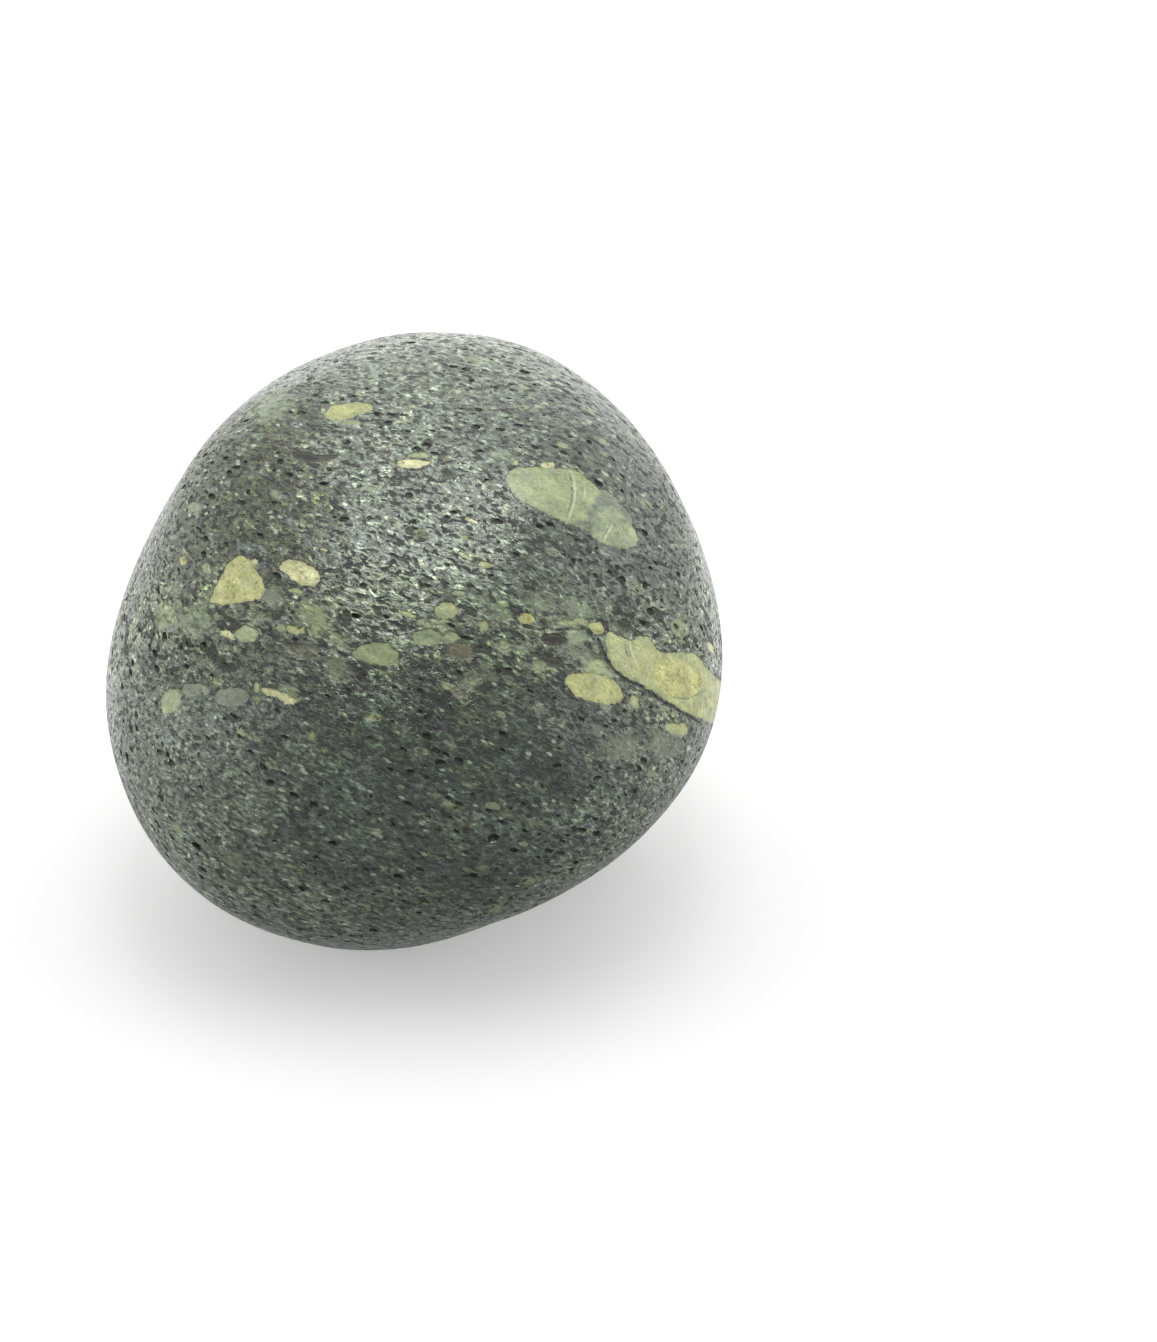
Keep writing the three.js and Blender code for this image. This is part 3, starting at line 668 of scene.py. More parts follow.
def cut_hollows(stone):
    """Cuts the hollows, one group of lumps at a time."""
    for lumps in hollow_lumps():
        cut = stone.modifiers.new("hollows", "BOOLEAN")
        cut.operation = "DIFFERENCE"
        cut.solver = "MANIFOLD"
        cut.object = lumps
        settle(stone)
        bpy.data.objects.remove(lumps)


# ---- Nodes ---------------------------------------------------------------------------------------


class Wire:
    """One output of a node, which ordinary arithmetic can work on."""

    def __init__(self, nodes, socket):
        self.nodes = nodes
        self.socket = socket

    def maths(self, operation, first, second):
        return self.nodes.add("ShaderNodeMath", {"operation": operation}, {0: first, 1: second})

    def __add__(self, other):
        return self.maths("ADD", self, other)

    def __sub__(self, other):
        return self.maths("SUBTRACT", self, other)

    def __rsub__(self, other):
        return self.maths("SUBTRACT", other, self)

    def __mul__(self, other):
        return self.maths("MULTIPLY", self, other)

    def __pow__(self, other):
        return self.maths("POWER", self, other)

    def __rpow__(self, other):
        return self.maths("POWER", other, self)

    __radd__ = __add__
    __rmul__ = __mul__

    def at_most(self, other):
        return self.maths("MINIMUM", self, other)

    def at_least(self, other):
        return self.maths("MAXIMUM", self, other)


class Nodes:
    """A node tree under construction."""

    def __init__(self, tree):
        self.tree = tree

    def add(self, kind, settings=None, inputs=None, output=0):
        """Adds one node: its settings first, then the values or wires of its sockets. Gives the
        output that is named, or a list of them where several are."""
        node = self.tree.nodes.new(kind)
        for name, value in (settings or {}).items():
            if name == "stops":
                self.set_stops(node.color_ramp, value)
            else:
                setattr(node, name, value)
        for socket, value in (inputs or {}).items():
            if isinstance(value, Wire):
                self.tree.links.new(value.socket, node.inputs[socket])
            else:
                node.inputs[socket].default_value = value
        if isinstance(output, tuple):
            return [Wire(self, node.outputs[name]) for name in output]
        return Wire(self, node.outputs[output]) if node.outputs else None

    def set_stops(self, ramp, stops):
        while len(ramp.elements) < len(stops):
            ramp.elements.new(1)
        for element, (position, tint) in zip(ramp.elements, stops):
            element.position = position
            element.color = tint

    def fade(self, value, low, high):
        """0 where the value is at or below low, 1 where it is at or above high, smooth between."""
        settings = {"interpolation_type": "SMOOTHSTEP"}
        inputs = {"Value": value, "From Min": low, "From Max": high}
        return self.add("ShaderNodeMapRange", settings, inputs)

    def ramp(self, value, stops):
        return self.add("ShaderNodeValToRGB", {"stops": stops}, {"Fac": value})

    def mix(self, share, first, second, way="MIX"):
        settings = {"data_type": "RGBA", "blend_type": way}
        return self.add("ShaderNodeMix", settings, {0: share, 6: first, 7: second}, output=2)

    def vector(self, operation, first, second=None, scale=None):
        inputs = {0: first}
        if second is not None:
            inputs[1] = second
        if scale is not None:
            inputs["Scale"] = scale
        output = 1 if operation == "DOT_PRODUCT" else 0
        return self.add("ShaderNodeVectorMath", {"operation": operation}, inputs, output)

    def length(self, vector):
        return self.vector("DOT_PRODUCT", vector, vector) ** 0.5

    def parts(self, vector):
        return self.add("ShaderNodeSeparateXYZ", {}, {0: vector}, output=(0, 1, 2))

    def attribute_parts(self, name):
        return self.parts(self.add("ShaderNodeAttribute", {"attribute_name": name}, {}, "Vector"))

    def grey(self, value):
        return self.add("ShaderNodeCombineXYZ", {}, {0: value, 1: value, 2: value})

    def shaded(self, tint, value):
        """The colour, made this many times as bright."""
        return self.mix(1.0, tint, self.grey(value), way="MULTIPLY")

    def noise(self, place, size, detail=2.0, roughness=0.5, output="Fac"):
        """Noise whose features are about this many millimetres across."""
        inputs = {"Vector": place, "Scale": 1 / size, "Detail": detail, "Roughness": roughness}
        return self.add("ShaderNodeTexNoise", {}, inputs, output)

    def cells(self, place, size):
        """Grains about this size: how far the place is from its grain's middle, over the size, and
        three stray numbers that belong to the grain."""
        inputs = {"Vector": place, "Scale": 1 / size}
        away, strays = self.add(
            "ShaderNodeTexVoronoi", {"feature": "F1"}, inputs, output=("Distance", "Color")
        )
        return away, self.parts(strays)


def emptied_nodes(owner):
    """The node tree of a material or a world, with nothing in it yet."""
    owner.use_nodes = True
    owner.node_tree.nodes.clear()
    return Nodes(owner.node_tree)


# ---- Small pits ----------------------------------------------------------------------------------

# Lengths in millimetres.
SMALL_PITS = {
    "Spacing": 1.05,
    "Places per area": 0.28,
    "Least length": 0.55,
    "Greatest length": 1.7,
    "Smallness": 2.6,  # above 1, most pits are near the least length
    "Slenderness": 0.45,  # the least width over length
    "Varied slenderness": 0.3,  # how much more that is at the most
    "Depth": 0.5,  # over width
    "Raggedness": 0.34,
}
PIT_SEED = 11
PIT_RUBBLE = 0.3  # how large the breaks in a pit's wall are
PIT_MARGIN = 0.5  # the middle of a pit lies at least this far from a pebble,
PIT_CRACK_MARGIN = 0.6  # this far from a crack
PIT_FOOT_MARGIN = 2.5  # and this far above the foot
PIT_SHARE = 0.62  # how many of the other places have a pit, where the waves cancel out
PIT_DRIFT = 0.2  # how much each of three long waves adds to that or takes away
PIT_SHARE_LEAST = 0.12
# Those waves: azimuth, elevation, wavelength, and shift in radians.
PIT_WAVES = ((20, 30, 17, 10), (110, -20, 23, 70), (65, 60, 11, 200))


def store(piece, name, values):
    """Keeps a number, or three, for each vertex of the piece."""
    kind, key = ("FLOAT", "value") if values.ndim == 1 else ("FLOAT_VECTOR", "vector")
    attribute = piece.data.attributes.new(name, kind, "POINT")
    attribute.data.foreach_set(key, values.astype(np.float32).ravel())


def vertex_array(piece):
    flat = np.empty(len(piece.data.vertices) * 3, np.float32)
    piece.data.vertices.foreach_get("co", flat)
    return flat.reshape(-1, 3).astype(float)


def likeliness_of_pits(points):
    """No pits in or beside a pebble or a crack, nor near the foot, and drifts of them elsewhere."""
    marks = Marks(points)
    clear = (marks.pebble < -PIT_MARGIN) & (marks.crack < -PIT_CRACK_MARGIN)
    clear &= points[:, 2] > PIT_FOOT_MARGIN - FOOT_BELOW_MIDDLE
    drift = np.zeros(len(points))
    for azimuth, elevation, wavelength, shift in PIT_WAVES:
        drift += np.sin(points @ heading(azimuth, elevation) * 2 * math.pi / wavelength + shift)
    return clear * np.clip(PIT_SHARE + PIT_DRIFT * drift, PIT_SHARE_LEAST, 1)


def small_pits_tree(finish):
    """Breaks small ragged pits out of a stone, long along its grain."""
    tree = bpy.data.node_groups.new("small pits", "GeometryNodeTree")
    sockets = tree.interface
    sockets.new_socket("Stone", in_out="INPUT", socket_type="NodeSocketGeometry")
    for name in SMALL_PITS:
        sockets.new_socket(name, in_out="INPUT", socket_type="NodeSocketFloat")
    sockets.new_socket("Pitted stone", in_out="OUTPUT", socket_type="NodeSocketGeometry")
    nodes = Nodes(tree)
    given = ("Stone", *SMALL_PITS)
    asked = dict(zip(given, nodes.add("NodeGroupInput", output=given)))
    likely = nodes.add(
        "GeometryNodeInputNamedAttribute", {"data_type": "FLOAT"}, {"Name": "likeliness"}
    )
    spots, turns = nodes.add(
        "GeometryNodeDistributePointsOnFaces",
        {"distribute_method": "POISSON"},
        {
            "Mesh": asked["Stone"],
            "Distance Min": asked["Spacing"],
            "Density Max": asked["Places per area"],
            "Density Factor": likely,
            "Seed": PIT_SEED,
        },
        output=("Points", "Rotation"),
    )

    def chance(kind):
        """A stray number between 0 and 1 for each pit."""
        inputs = {2: 0.0, 3: 1.0, "Seed": kind}
        return nodes.add("FunctionNodeRandomValue", {"data_type": "FLOAT"}, inputs, output=1)

    span = asked["Greatest length"] - asked["Least length"]
    half_length = (asked["Least length"] + span * chance(1) ** asked["Smallness"]) * 0.5
    half_width = half_length * (asked["Slenderness"] + asked["Varied slenderness"] * chance(2))
    half_depth = half_width * 2 * asked["Depth"]
    size = nodes.add("ShaderNodeCombineXYZ", {}, {0: half_length, 1: half_width, 2: half_depth})
    turned = nodes.add(
        "FunctionNodeAlignRotationToVector",
        {"axis": "X", "pivot_axis": "Z"},
        {"Rotation": turns, "Vector": Vector(GRAIN_RUN)},
    )
    lump = nodes.add("GeometryNodeMeshIcoSphere", {}, {"Radius": 1.0, "Subdivisions": 1})
    placed = nodes.add(
        "GeometryNodeInstanceOnPoints",
        {},
        {"Points": spots, "Instance": lump, "Rotation": turned, "Scale": size},
    )
    lumps = nodes.add("GeometryNodeRealizeInstances", {}, {0: placed})
    place = nodes.add("GeometryNodeInputPosition")
    rough = nodes.noise(place, PIT_RUBBLE, detail=1.0, output="Color")
    pushed = nodes.vector("SUBTRACT", rough, (0.5, 0.5, 0.5))
    pushed = nodes.vector("SCALE", pushed, scale=asked["Raggedness"] * 2)
    ragged = nodes.add("GeometryNodeSetPosition", {}, {"Geometry": lumps, "Offset": pushed})
    pitted = nodes.add(
        "GeometryNodeMeshBoolean",
        {"operation": "DIFFERENCE", "solver": "MANIFOLD"},
        {"Mesh 1": asked["Stone"], "Mesh 2": ragged},
    )
    whole = nodes.add("GeometryNodeRealizeInstances", {}, {0: pitted})
    dressed = nodes.add("GeometryNodeSetMaterial", {}, {"Geometry": whole, "Material": finish})
    nodes.add("NodeGroupOutput", {}, {"Pitted stone": dressed})
    return tree


def break_out_small_pits(stone, finish):
    """Makes the small pits, as the tree above lays them out."""
    store(stone, "likeliness", likeliness_of_pits(vertex_array(stone)))
    tree = small_pits_tree(finish)
    pits = stone.modifiers.new("small pits", "NODES")
    pits.node_group = tree
    for item in tree.interface.items_tree:
        if item.name in SMALL_PITS:
            pits[item.identifier] = SMALL_PITS[item.name]
    settle(stone)


# ---- Green tuff ----------------------------------------------------------------------------------

GRAIN_FACING = unit(np.array((0.42, 0.45, 0.785)))  # square to the sheets that the grains lie in
GRAIN_FLATNESS = 1.55  # how many times wider than thick a grain is
GRAIN_LENGTH = 1.3  # how many times longer than wide
RIPPLE_LENGTH, RIPPLE_HEIGHT = 1.6, 0.6  # of the ripples in those sheets
DRIFT_LENGTH = 13  # of the broad drifts that all the beds and colours waver by


def colour(red, green, blue):
    """A colour from its display values, 0 to 255."""
    shares = (value / 255 for value in (red, green, blue))
    return (*(s / 12.92 if s < 0.04045 else ((s + 0.055) / 1.055) ** 2.4 for s in shares), 1)


PEBBLE_COLOURS = (
    colour(36, 35, 37),  # dark
    colour(114, 112, 87),  # dusk
    colour(116, 125, 105),  # sage
    colour(132, 147, 116),  # moss
    colour(154, 166, 123),  # pale green
    colour(173, 180, 126),  # yellow green
    colour(187, 189, 122),  # yellow
    colour(216, 217, 166),  # cream
)
PEBBLE_TONES = tuple((step / 7, tint) for step, tint in enumerate(PEBBLE_COLOURS))
GREY_GREEN = colour(95, 105, 90)  # the ground mass
PEBBLY_BED = colour(90, 102, 77)
# the lower bed: partly the tuff's own darker colour, partly painted shade towards the bottom
LOWER_BED_AND_SHADE = colour(18, 26, 20)
FELDSPAR = colour(180, 192, 166)
RUSTY_SPECK = colour(140, 126, 76)
PEBBLE_RIM = colour(120, 128, 92)
VEIN_WHITE = colour(208, 213, 172)
CRACK_DARK = colour(52, 56, 50)
# painted shade in the tiniest pits, which are not cut
PIT_SHADE = colour(27, 31, 27)
# dirt and painted shade deep in the hollows
HOLLOW_DIRT_AND_SHADE = colour(40, 43, 38)

# How large the patterns are, in millimetres.
COARSE_GRAIN, BED_GRAIN, FINE_GRAIN, BLOTCH, PATCH = 2.0, 3.6, 0.72, 2.1, 5.0
FRAY, CLOUD, POWDER, SPECK, SLIVER, TINY_PIT = 0.7, 2.4, 0.35, 0.7, 1.1, 1.8
# How large the ragged flecks are, and how rare, from 0 to 1.
PALE_FLECK, DARK_FLECK, SHADOW, TINY_CLEFT = (1.15, 0.60), (0.95, 0.565), (2.9, 0.56), (1.1, 0.605)

# How strongly the tuff is mottled: how many doublings lie between the ends of each pattern.
GRAIN_MOTTLE, BLOTCH_MOTTLE, PATCH_MOTTLE = 9.5, 2.8, 1.8
CLOUD_MOTTLE, POWDER_MOTTLE = 1.5, 1.8  # on the pebbles
# By how many doublings the flecks are paler or darker than the rest, where it is calm and where busy,
# and the same of the shadows in the pebbly bed and of everything together.
# On the busy crown, where the highlight falls, the paler flecks are partly painted glints.
PALE_LIFT, DARK_DROP = (0.7, 1.8), (1.1, 3.7)
SHADOW_DROP, LIFT = 2.1, 0.26

# How high the grains and pale flecks stand, and how deep the rest lies, in millimetres.
BLOTCH_HEIGHT, GRAIN_HEIGHT, PALE_FLECK_HEIGHT = 0.36, 0.26, 0.03
DARK_FLECK_DEPTH, TINY_PIT_DEPTH, CRACK_GROOVE = 0.08, 0.08, 0.08
RELIEF = (0.55, 1.2)  # how much of the height there is where it is calm, and where it is busy

ROUGHNESS = 0.27  # of the worn tuff
PEBBLE_ROUGHNESS, DULL_ROUGHNESS = 0.1, 0.5  # how much more that is on a pebble, and in what is dull

FINE_HUES = (
    (0.0, colour(62, 74, 58)),
    (0.20, colour(98, 103, 68)),
    (0.40, colour(84, 95, 98)),
    (0.58, colour(124, 134, 106)),
    (0.76, colour(86, 86, 71)),
    (1.0, colour(75, 95, 76)),
)
BED_HUES = (
    (0.0, colour(54, 63, 49)),
    (0.25, colour(106, 122, 80)),
    (0.45, colour(60, 64, 57)),
    (0.62, colour(70, 90, 68)),
    (0.80, colour(122, 133, 102)),
    (1.0, colour(50, 54, 49)),
)

# Broad drifts of another colour in the ground mass, some of them painted shade: the middle of each, how
# far its heart and its edge reach, how far the edge wavers, how low it fades out, how strong it is, and
# its colour.
COLOUR_AND_SHADE_DRIFTS = (
    ((-24, -20, 26), 6, 34, 1.6, 0.15, 1, colour(50, 57, 31)),  # olive on the left shoulder
    ((27, -16, 34), 6, 28, 1.2, 0.15, 0.85, colour(55, 64, 53)),  # painted shadow on the right crown, in dark grey
    ((3, -39, 3), 5, 30, 1.8, 0.2, 0.85, colour(58, 71, 58)),  # dark green in the middle: partly the tuff's own colour, partly painted shade low on the front
)
DRIFT_FULL = 0.75  # where a drift reaches its full strength, from 0 at its edge to 1 at its heart

# The edges of the pebbly bed and of the darker lower one, which is partly painted shade: how far each
# wavers, and the levels that it fades between.
BED_FOOT, BED_TOP, LOWER_BED_AND_SHADE_EDGE = (14, -9, -4), (5, 3.5, 9.5), (9, 1.5, -4)

# How strongly the colours show: of the beds, of the grains outside the pebbly bed and in it, of that
# bed's own grains, of the slivers, and of the pebbles' specks and rims.
BED_TINT, LOWER_BED_AND_SHADE_TINT = 0.6, 0.29
GRAIN_TINT, BED_GRAIN_TINT = (0.55, 0.75), 0.7
SLIVER_TINT, SPECK_TINT, RIM_TINT = 0.75, 0.7, 0.26

# The busy crown, where the highlight falls, and the calm left edge: the middle, and how far the heart
# and the edge reach.
CROWN, LEFT_EDGE = ((-3, -31, 30), 8, 30), ((-39, -12, -4), 6, 18)
BED_BUSYNESS = 0.8  # how busy the pebbly bed is, as a share of the crown

# Where the tuff is made paler or darker, painted light among them: the place, how far it reaches and by
# how many doublings.
PAINTED_LIGHT_AND_DARKER_PLACES = (
    # a painted highlight where the sheen runs low on the crown
    ((4, -32, 28), 8, 0.3),
    # darker patches across the front and the right side
    ((21, -36, 8), 11, -1.2),
    ((-15, -37, 14), 14, -0.65),
    ((6, -39, 17), 8, -0.9),
    ((16, -34, 20), 9, -0.5),
    ((33, -22, 18), 14, -0.4),
    # painted light along the lower left rim and the lower front
    ((-26, -32, -12), 18, 0.6),
    ((-11, -39, -13), 14, 0.45),
)

# The small flat pebbles of the ground mass: size, share, how strongly they show, and the step that
# keeps their pattern apart from the others.
SMALL_LENSES = ((4.6, 0.10, 0.6, 31), (2.3, 0.12, 0.7, 57))
MORE_IN_BED = 0.18  # how much greater that share is in the pebbly bed
LENS_RADIUS, TINY_PIT_RADIUS = (0.18, 0.38), (0.11, 0.29)  # as a share of the size
LENS_TONES = (0.22, 0.60)

# How far the edge of a pebble frays, how much more for each millimetre of its softness, and how far
# it swells.
PEBBLE_FRAY, SOFT_FRAY, PEBBLE_SWELL = 0.7, 1.6, 0.08
HAZY, CLEAR = 1.5, 0.2  # the softness at which a pebble is too faint to show, and shows in full
CLOUDINESS = (0.06, 0.30)  # how far the tone of a dark pebble is clouded, and of any other
PEBBLE_SHADE = 0.92  # how bright the colour of a pebble is left
PEBBLE_RIM_WIDTH, PEBBLE_RIM_END = 0.16, 0.5  # how far in from its edge the rim is full, and ends
# How far the edge of a vein or a crack frays, and how deep in it the colour begins and is full.
VEIN_FRAY, VEIN_EDGE = 0.2, (-0.06, 0.08)
CRACK_FRAY, CRACK_EDGE = 0.22, (-0.04, 0.12)
HOLLOW_EDGE = (0.03, 0.3)  # the same depths of a hollow
PITS_ON_PEBBLES, RELIEF_ON_PEBBLES = 0.15, 0.1  # how far each still shows on a pebble


class Tuff:
    """The places that the patterns of the tuff are laid out on, in millimetres."""

    def __init__(self, nodes):
        self.nodes = nodes
        coordinates = nodes.add("ShaderNodeTexCoord", {}, {}, output="Object")
        millimetres = nodes.vector("SCALE", coordinates, scale=1000.0)
        self.place = nodes.vector("SUBTRACT", millimetres, (0, 0, FOOT_BELOW_MIDDLE))
        ripple = nodes.noise(self.place, RIPPLE_LENGTH, output="Color")
        ripple = nodes.vector("SUBTRACT", ripple, (0.5, 0.5, 0.5))
        ripple = nodes.vector("SCALE", ripple, scale=RIPPLE_HEIGHT)
        self.rippled = nodes.vector("ADD", self.place, ripple)
        across = nodes.vector("DOT_PRODUCT", self.rippled, Vector(GRAIN_FACING))
        spread = nodes.vector("SCALE", Vector(GRAIN_FACING), scale=across * (GRAIN_FLATNESS - 1))
        along = nodes.vector("DOT_PRODUCT", self.rippled, Vector(GRAIN_RUN))
        drawn = nodes.vector("SCALE", Vector(GRAIN_RUN), scale=along * (1 / GRAIN_LENGTH - 1))
        spread = nodes.vector("ADD", self.rippled, spread)
        self.in_sheets = nodes.vector("ADD", spread, drawn)
        self.over_beds = nodes.vector("DOT_PRODUCT", self.place, Vector(BED_FACING))
        self.drift = nodes.noise(self.place, DRIFT_LENGTH) - 0.5

    def shifted(self, step):
        """The place in the sheets, moved along so that no two patterns fall together."""
        return self.nodes.vector("ADD", self.in_sheets, (step, step * 0.37, -step * 0.61))

    def around(self, middle, near_by, far_off):
        """1 near a place on the stone, 0 far off it."""
        offset = self.nodes.vector("SUBTRACT", self.place, middle)
        return self.nodes.fade(self.nodes.length(offset), far_off, near_by)

    def across_beds(self, waver, low, high):
        """Fades from 0 to 1 from one level of the beds to another, and wavers this much."""
        return self.nodes.fade(self.over_beds + waver * self.drift, low, high)


def flecks(nodes, place, size, rare, edge=0.045):
    """Ragged flecks of about this size: 1 in them, 0 outside. They are rarer as rare nears 1."""
    return nodes.fade(nodes.noise(place, size, roughness=0.55), rare, rare + edge)


def coarse_grains(nodes, place, size, hues):
    """Grains with a hue of their own: the hue, and how surely each place shows it."""
    away, strays = nodes.cells(place, size)
    shows = nodes.fade(strays[1], 0.35, 0.65) * nodes.fade(away, 0.66, 0.34)
    return nodes.ramp(strays[0], hues), shows


def broad_colours(nodes, tuff):
    """The colour of the ground mass from a step away, painted shade included, and where its pebbly bed
    is.
    """
    body = GREY_GREEN
    for middle, heart, edge, waver, low, strength, tint in COLOUR_AND_SHADE_DRIFTS:
        there = nodes.fade(tuff.around(middle, heart, edge) + waver * tuff.drift, low, DRIFT_FULL)
        body = nodes.mix(there * strength, body, tint)
    bed = tuff.across_beds(*BED_FOOT) * (1 - tuff.across_beds(*BED_TOP))
    body = nodes.mix(bed * BED_TINT, body, PEBBLY_BED)
    return nodes.mix(tuff.across_beds(*LOWER_BED_AND_SHADE_EDGE) * LOWER_BED_AND_SHADE_TINT, body, LOWER_BED_AND_SHADE), bed


def fine_grains(nodes, tuff, bed):
    """Broad and fine mottling, with pale and dark flecks that stand proud or lie low, and painted light
    in a few places: by how many doublings each place is paler, how high it stands, and how dull it is."""
    patch = nodes.noise(tuff.rippled, PATCH)
    blotch = nodes.noise(tuff.shifted(17), BLOTCH, detail=3.0, roughness=0.62)
    tone = nodes.noise(tuff.shifted(43), FINE_GRAIN, detail=3.0, roughness=0.62)
    pale = flecks(nodes, tuff.shifted(71), *PALE_FLECK)
    dark = flecks(nodes, tuff.shifted(97), *DARK_FLECK)
    left_edge = tuff.around(*LEFT_EDGE)
    busy = tuff.around(*CROWN).at_least(bed * BED_BUSYNESS) * (1 - left_edge)
    shadowed = flecks(nodes, tuff.shifted(211), *SHADOW) * bed * (1 - left_edge * 0.8)
    value = (tone - 0.5) * GRAIN_MOTTLE + (blotch - 0.5) * BLOTCH_MOTTLE
    value = value + (patch - 0.5) * PATCH_MOTTLE
    value = value + pale * between(PALE_LIFT, busy) - dark * between(DARK_DROP, busy)
    value = value - shadowed * SHADOW_DROP + LIFT
    # painted light at the rims and on the crown, and darker patches, from the table above
    for middle, reach, doublings in PAINTED_LIGHT_AND_DARKER_PLACES:
        value = value + tuff.around(middle, 1, reach) * doublings
    stands = (blotch * BLOTCH_HEIGHT + tone * GRAIN_HEIGHT) * between(RELIEF, busy)
    stands = stands + pale * PALE_FLECK_HEIGHT - dark * DARK_FLECK_DEPTH
    return value, stands, (dark + shadowed).at_most(1)


def with_slivers(nodes, tuff, body):
    """Slivers of feldspar over the rest."""
    away, strays = nodes.cells(tuff.in_sheets, SLIVER)
    slivers = nodes.fade(strays[0], 0.84, 0.88) * nodes.fade(away, 0.36, 0.2)
    return nodes.mix(slivers * SLIVER_TINT, body, FELDSPAR)


def ground_mass(nodes, tuff):
    """The fine tuff between the pebbles: its colour, how high it stands, how dull it is, and where
    the pebbly bed is."""
    body, bed = broad_colours(nodes, tuff)
    hue, shows = coarse_grains(nodes, tuff.in_sheets, COARSE_GRAIN, FINE_HUES)
    body = nodes.mix(shows * between(GRAIN_TINT, bed), body, hue)
    hue, shows = coarse_grains(nodes, tuff.rippled, BED_GRAIN, BED_HUES)
    body = nodes.mix(shows * bed * BED_GRAIN_TINT, body, hue)
    value, stands, dull = fine_grains(nodes, tuff, bed)
    body = with_slivers(nodes, tuff, nodes.shaded(body, 2 ** value))
    return body, stands, dull, bed


def with_small_lenses(nodes, tuff, body, bed):
    """Small flat pebbles everywhere, and more of them in the pebbly bed."""
    for size, least_share, strength, step in SMALL_LENSES:
        away, strays = nodes.cells(tuff.shifted(step), size)
        share = least_share + MORE_IN_BED * bed
        radius = between(LENS_RADIUS, strays[2])
        sure = nodes.fade(strays[0], 1 - share - 0.005, 1 - share + 0.005)
        sure = sure * nodes.fade(away, radius + 0.05, radius - 0.03)
        tint = nodes.ramp(between(LENS_TONES, strays[1]), PEBBLE_TONES)
        body = nodes.mix(sure * strength, body, tint)
    return body


def with_pebbles(nodes, tuff, body, frayed):
    """The pebbles over the rest: the colour, how surely each place is in one, and how surely in a
    dark one, which is sooty."""
    inside, tone, softness = nodes.attribute_parts("pebble")
    inside = inside + frayed * (PEBBLE_FRAY + softness * SOFT_FRAY) + PEBBLE_SWELL
    sure = nodes.fade(inside, 0 - softness, softness) * nodes.fade(softness, HAZY, CLEAR)
    clouds = nodes.noise(tuff.in_sheets, CLOUD, detail=3.0, roughness=0.55)
    cloudiness = between(CLOUDINESS, nodes.fade(tone, 0.0, 0.3))
    tint = nodes.ramp(tone + (clouds - 0.5) * cloudiness, PEBBLE_TONES)
    powder = nodes.noise(tuff.in_sheets, POWDER)
    value = (clouds - 0.5) * CLOUD_MOTTLE + (powder - 0.5) * POWDER_MOTTLE
    tint = nodes.shaded(tint, PEBBLE_SHADE * 2 ** value)
    away, strays = nodes.cells(tuff.place, SPECK)
    speck = nodes.fade(strays[0] + clouds, 1.0, 1.15) * nodes.fade(away, 0.45, 0.2)
    speck = speck * nodes.fade(tone, 0.76, 0.84)  # in the yellow and the cream ones alone
    tint = nodes.mix(speck * SPECK_TINT, tint, RUSTY_SPECK)
    rim = nodes.fade(inside, 0.0, PEBBLE_RIM_WIDTH)
    rim = rim - nodes.fade(inside, PEBBLE_RIM_WIDTH, PEBBLE_RIM_END)
    tint = nodes.mix(rim * RIM_TINT, tint, PEBBLE_RIM)
    return nodes.mix(sure, body, tint), sure, nodes.fade(tone, 0.14, 0.0) * sure


def tiny_pits(nodes, tuff):
    """How deep in one of the tiniest pits each place is, from 0 to 1."""
    away, strays = nodes.cells(tuff.shifted(131), TINY_PIT)
    radius = between(TINY_PIT_RADIUS, strays[1])
    spots = nodes.fade(strays[0], 0.36, 0.40) * nodes.fade(away, radius + 0.06, radius - 0.06)
    return spots.at_least(flecks(nodes, tuff.shifted(173), *TINY_CLEFT))


def green_tuff():
    """Fine grey green tuff with pale pebbles caught in it, worn to a low sheen."""
    material = bpy.data.materials.new("green_tuff")
    nodes = emptied_nodes(material)
    tuff = Tuff(nodes)
    body, stands, dull, bed = ground_mass(nodes, tuff)
    body = with_small_lenses(nodes, tuff, body, bed)
    frayed = nodes.noise(tuff.place, FRAY, detail=3.0, roughness=0.6) - 0.5
    body, sure, sooty = with_pebbles(nodes, tuff, body, frayed)
    bare = 1 - sure

    crack, vein, hollow = nodes.attribute_parts("marks")
    veined = nodes.fade(vein + frayed * VEIN_FRAY, *VEIN_EDGE)
    cracked = nodes.fade(crack + frayed * CRACK_FRAY, *CRACK_EDGE)
    pits = tiny_pits(nodes, tuff) * between((PITS_ON_PEBBLES, 1), bare)
    deep = nodes.fade(hollow, *HOLLOW_EDGE)
    for shows, strength, tint in (
        (veined, 0.6, VEIN_WHITE),
        (cracked, 0.8, CRACK_DARK),
        # painted shade in the tiniest pits
        (pits, 0.85, PIT_SHADE),
        # dirt and painted shade, darker the deeper the hollow
        (deep, 0.62, HOLLOW_DIRT_AND_SHADE),
    ):
        body = nodes.mix(shows * strength, body, tint)

    height = stands * between((RELIEF_ON_PEBBLES, 1), bare)
    height = height - pits * TINY_PIT_DEPTH - cracked * CRACK_GROOVE
    rough = (pits + deep + dull + sooty).at_most(1) * DULL_ROUGHNESS
    relief = nodes.add("ShaderNodeBump", {}, {"Strength": 1.0, "Distance": MM, "Height": height})
    shader = nodes.add(
        "ShaderNodeBsdfPrincipled",
        {},
        {
            "Base Color": body,
            "Roughness": ROUGHNESS + sure * PEBBLE_ROUGHNESS + rough,
            "Normal": relief,
            "Specular IOR Level": 0.5,
            "Sheen Weight": 0.3,
            "Sheen Roughness": 0.25,
        },
    )
    nodes.add("ShaderNodeOutputMaterial", {}, {"Surface": shader})
    return material


# ---- Studio --------------------------------------------------------------------------------------

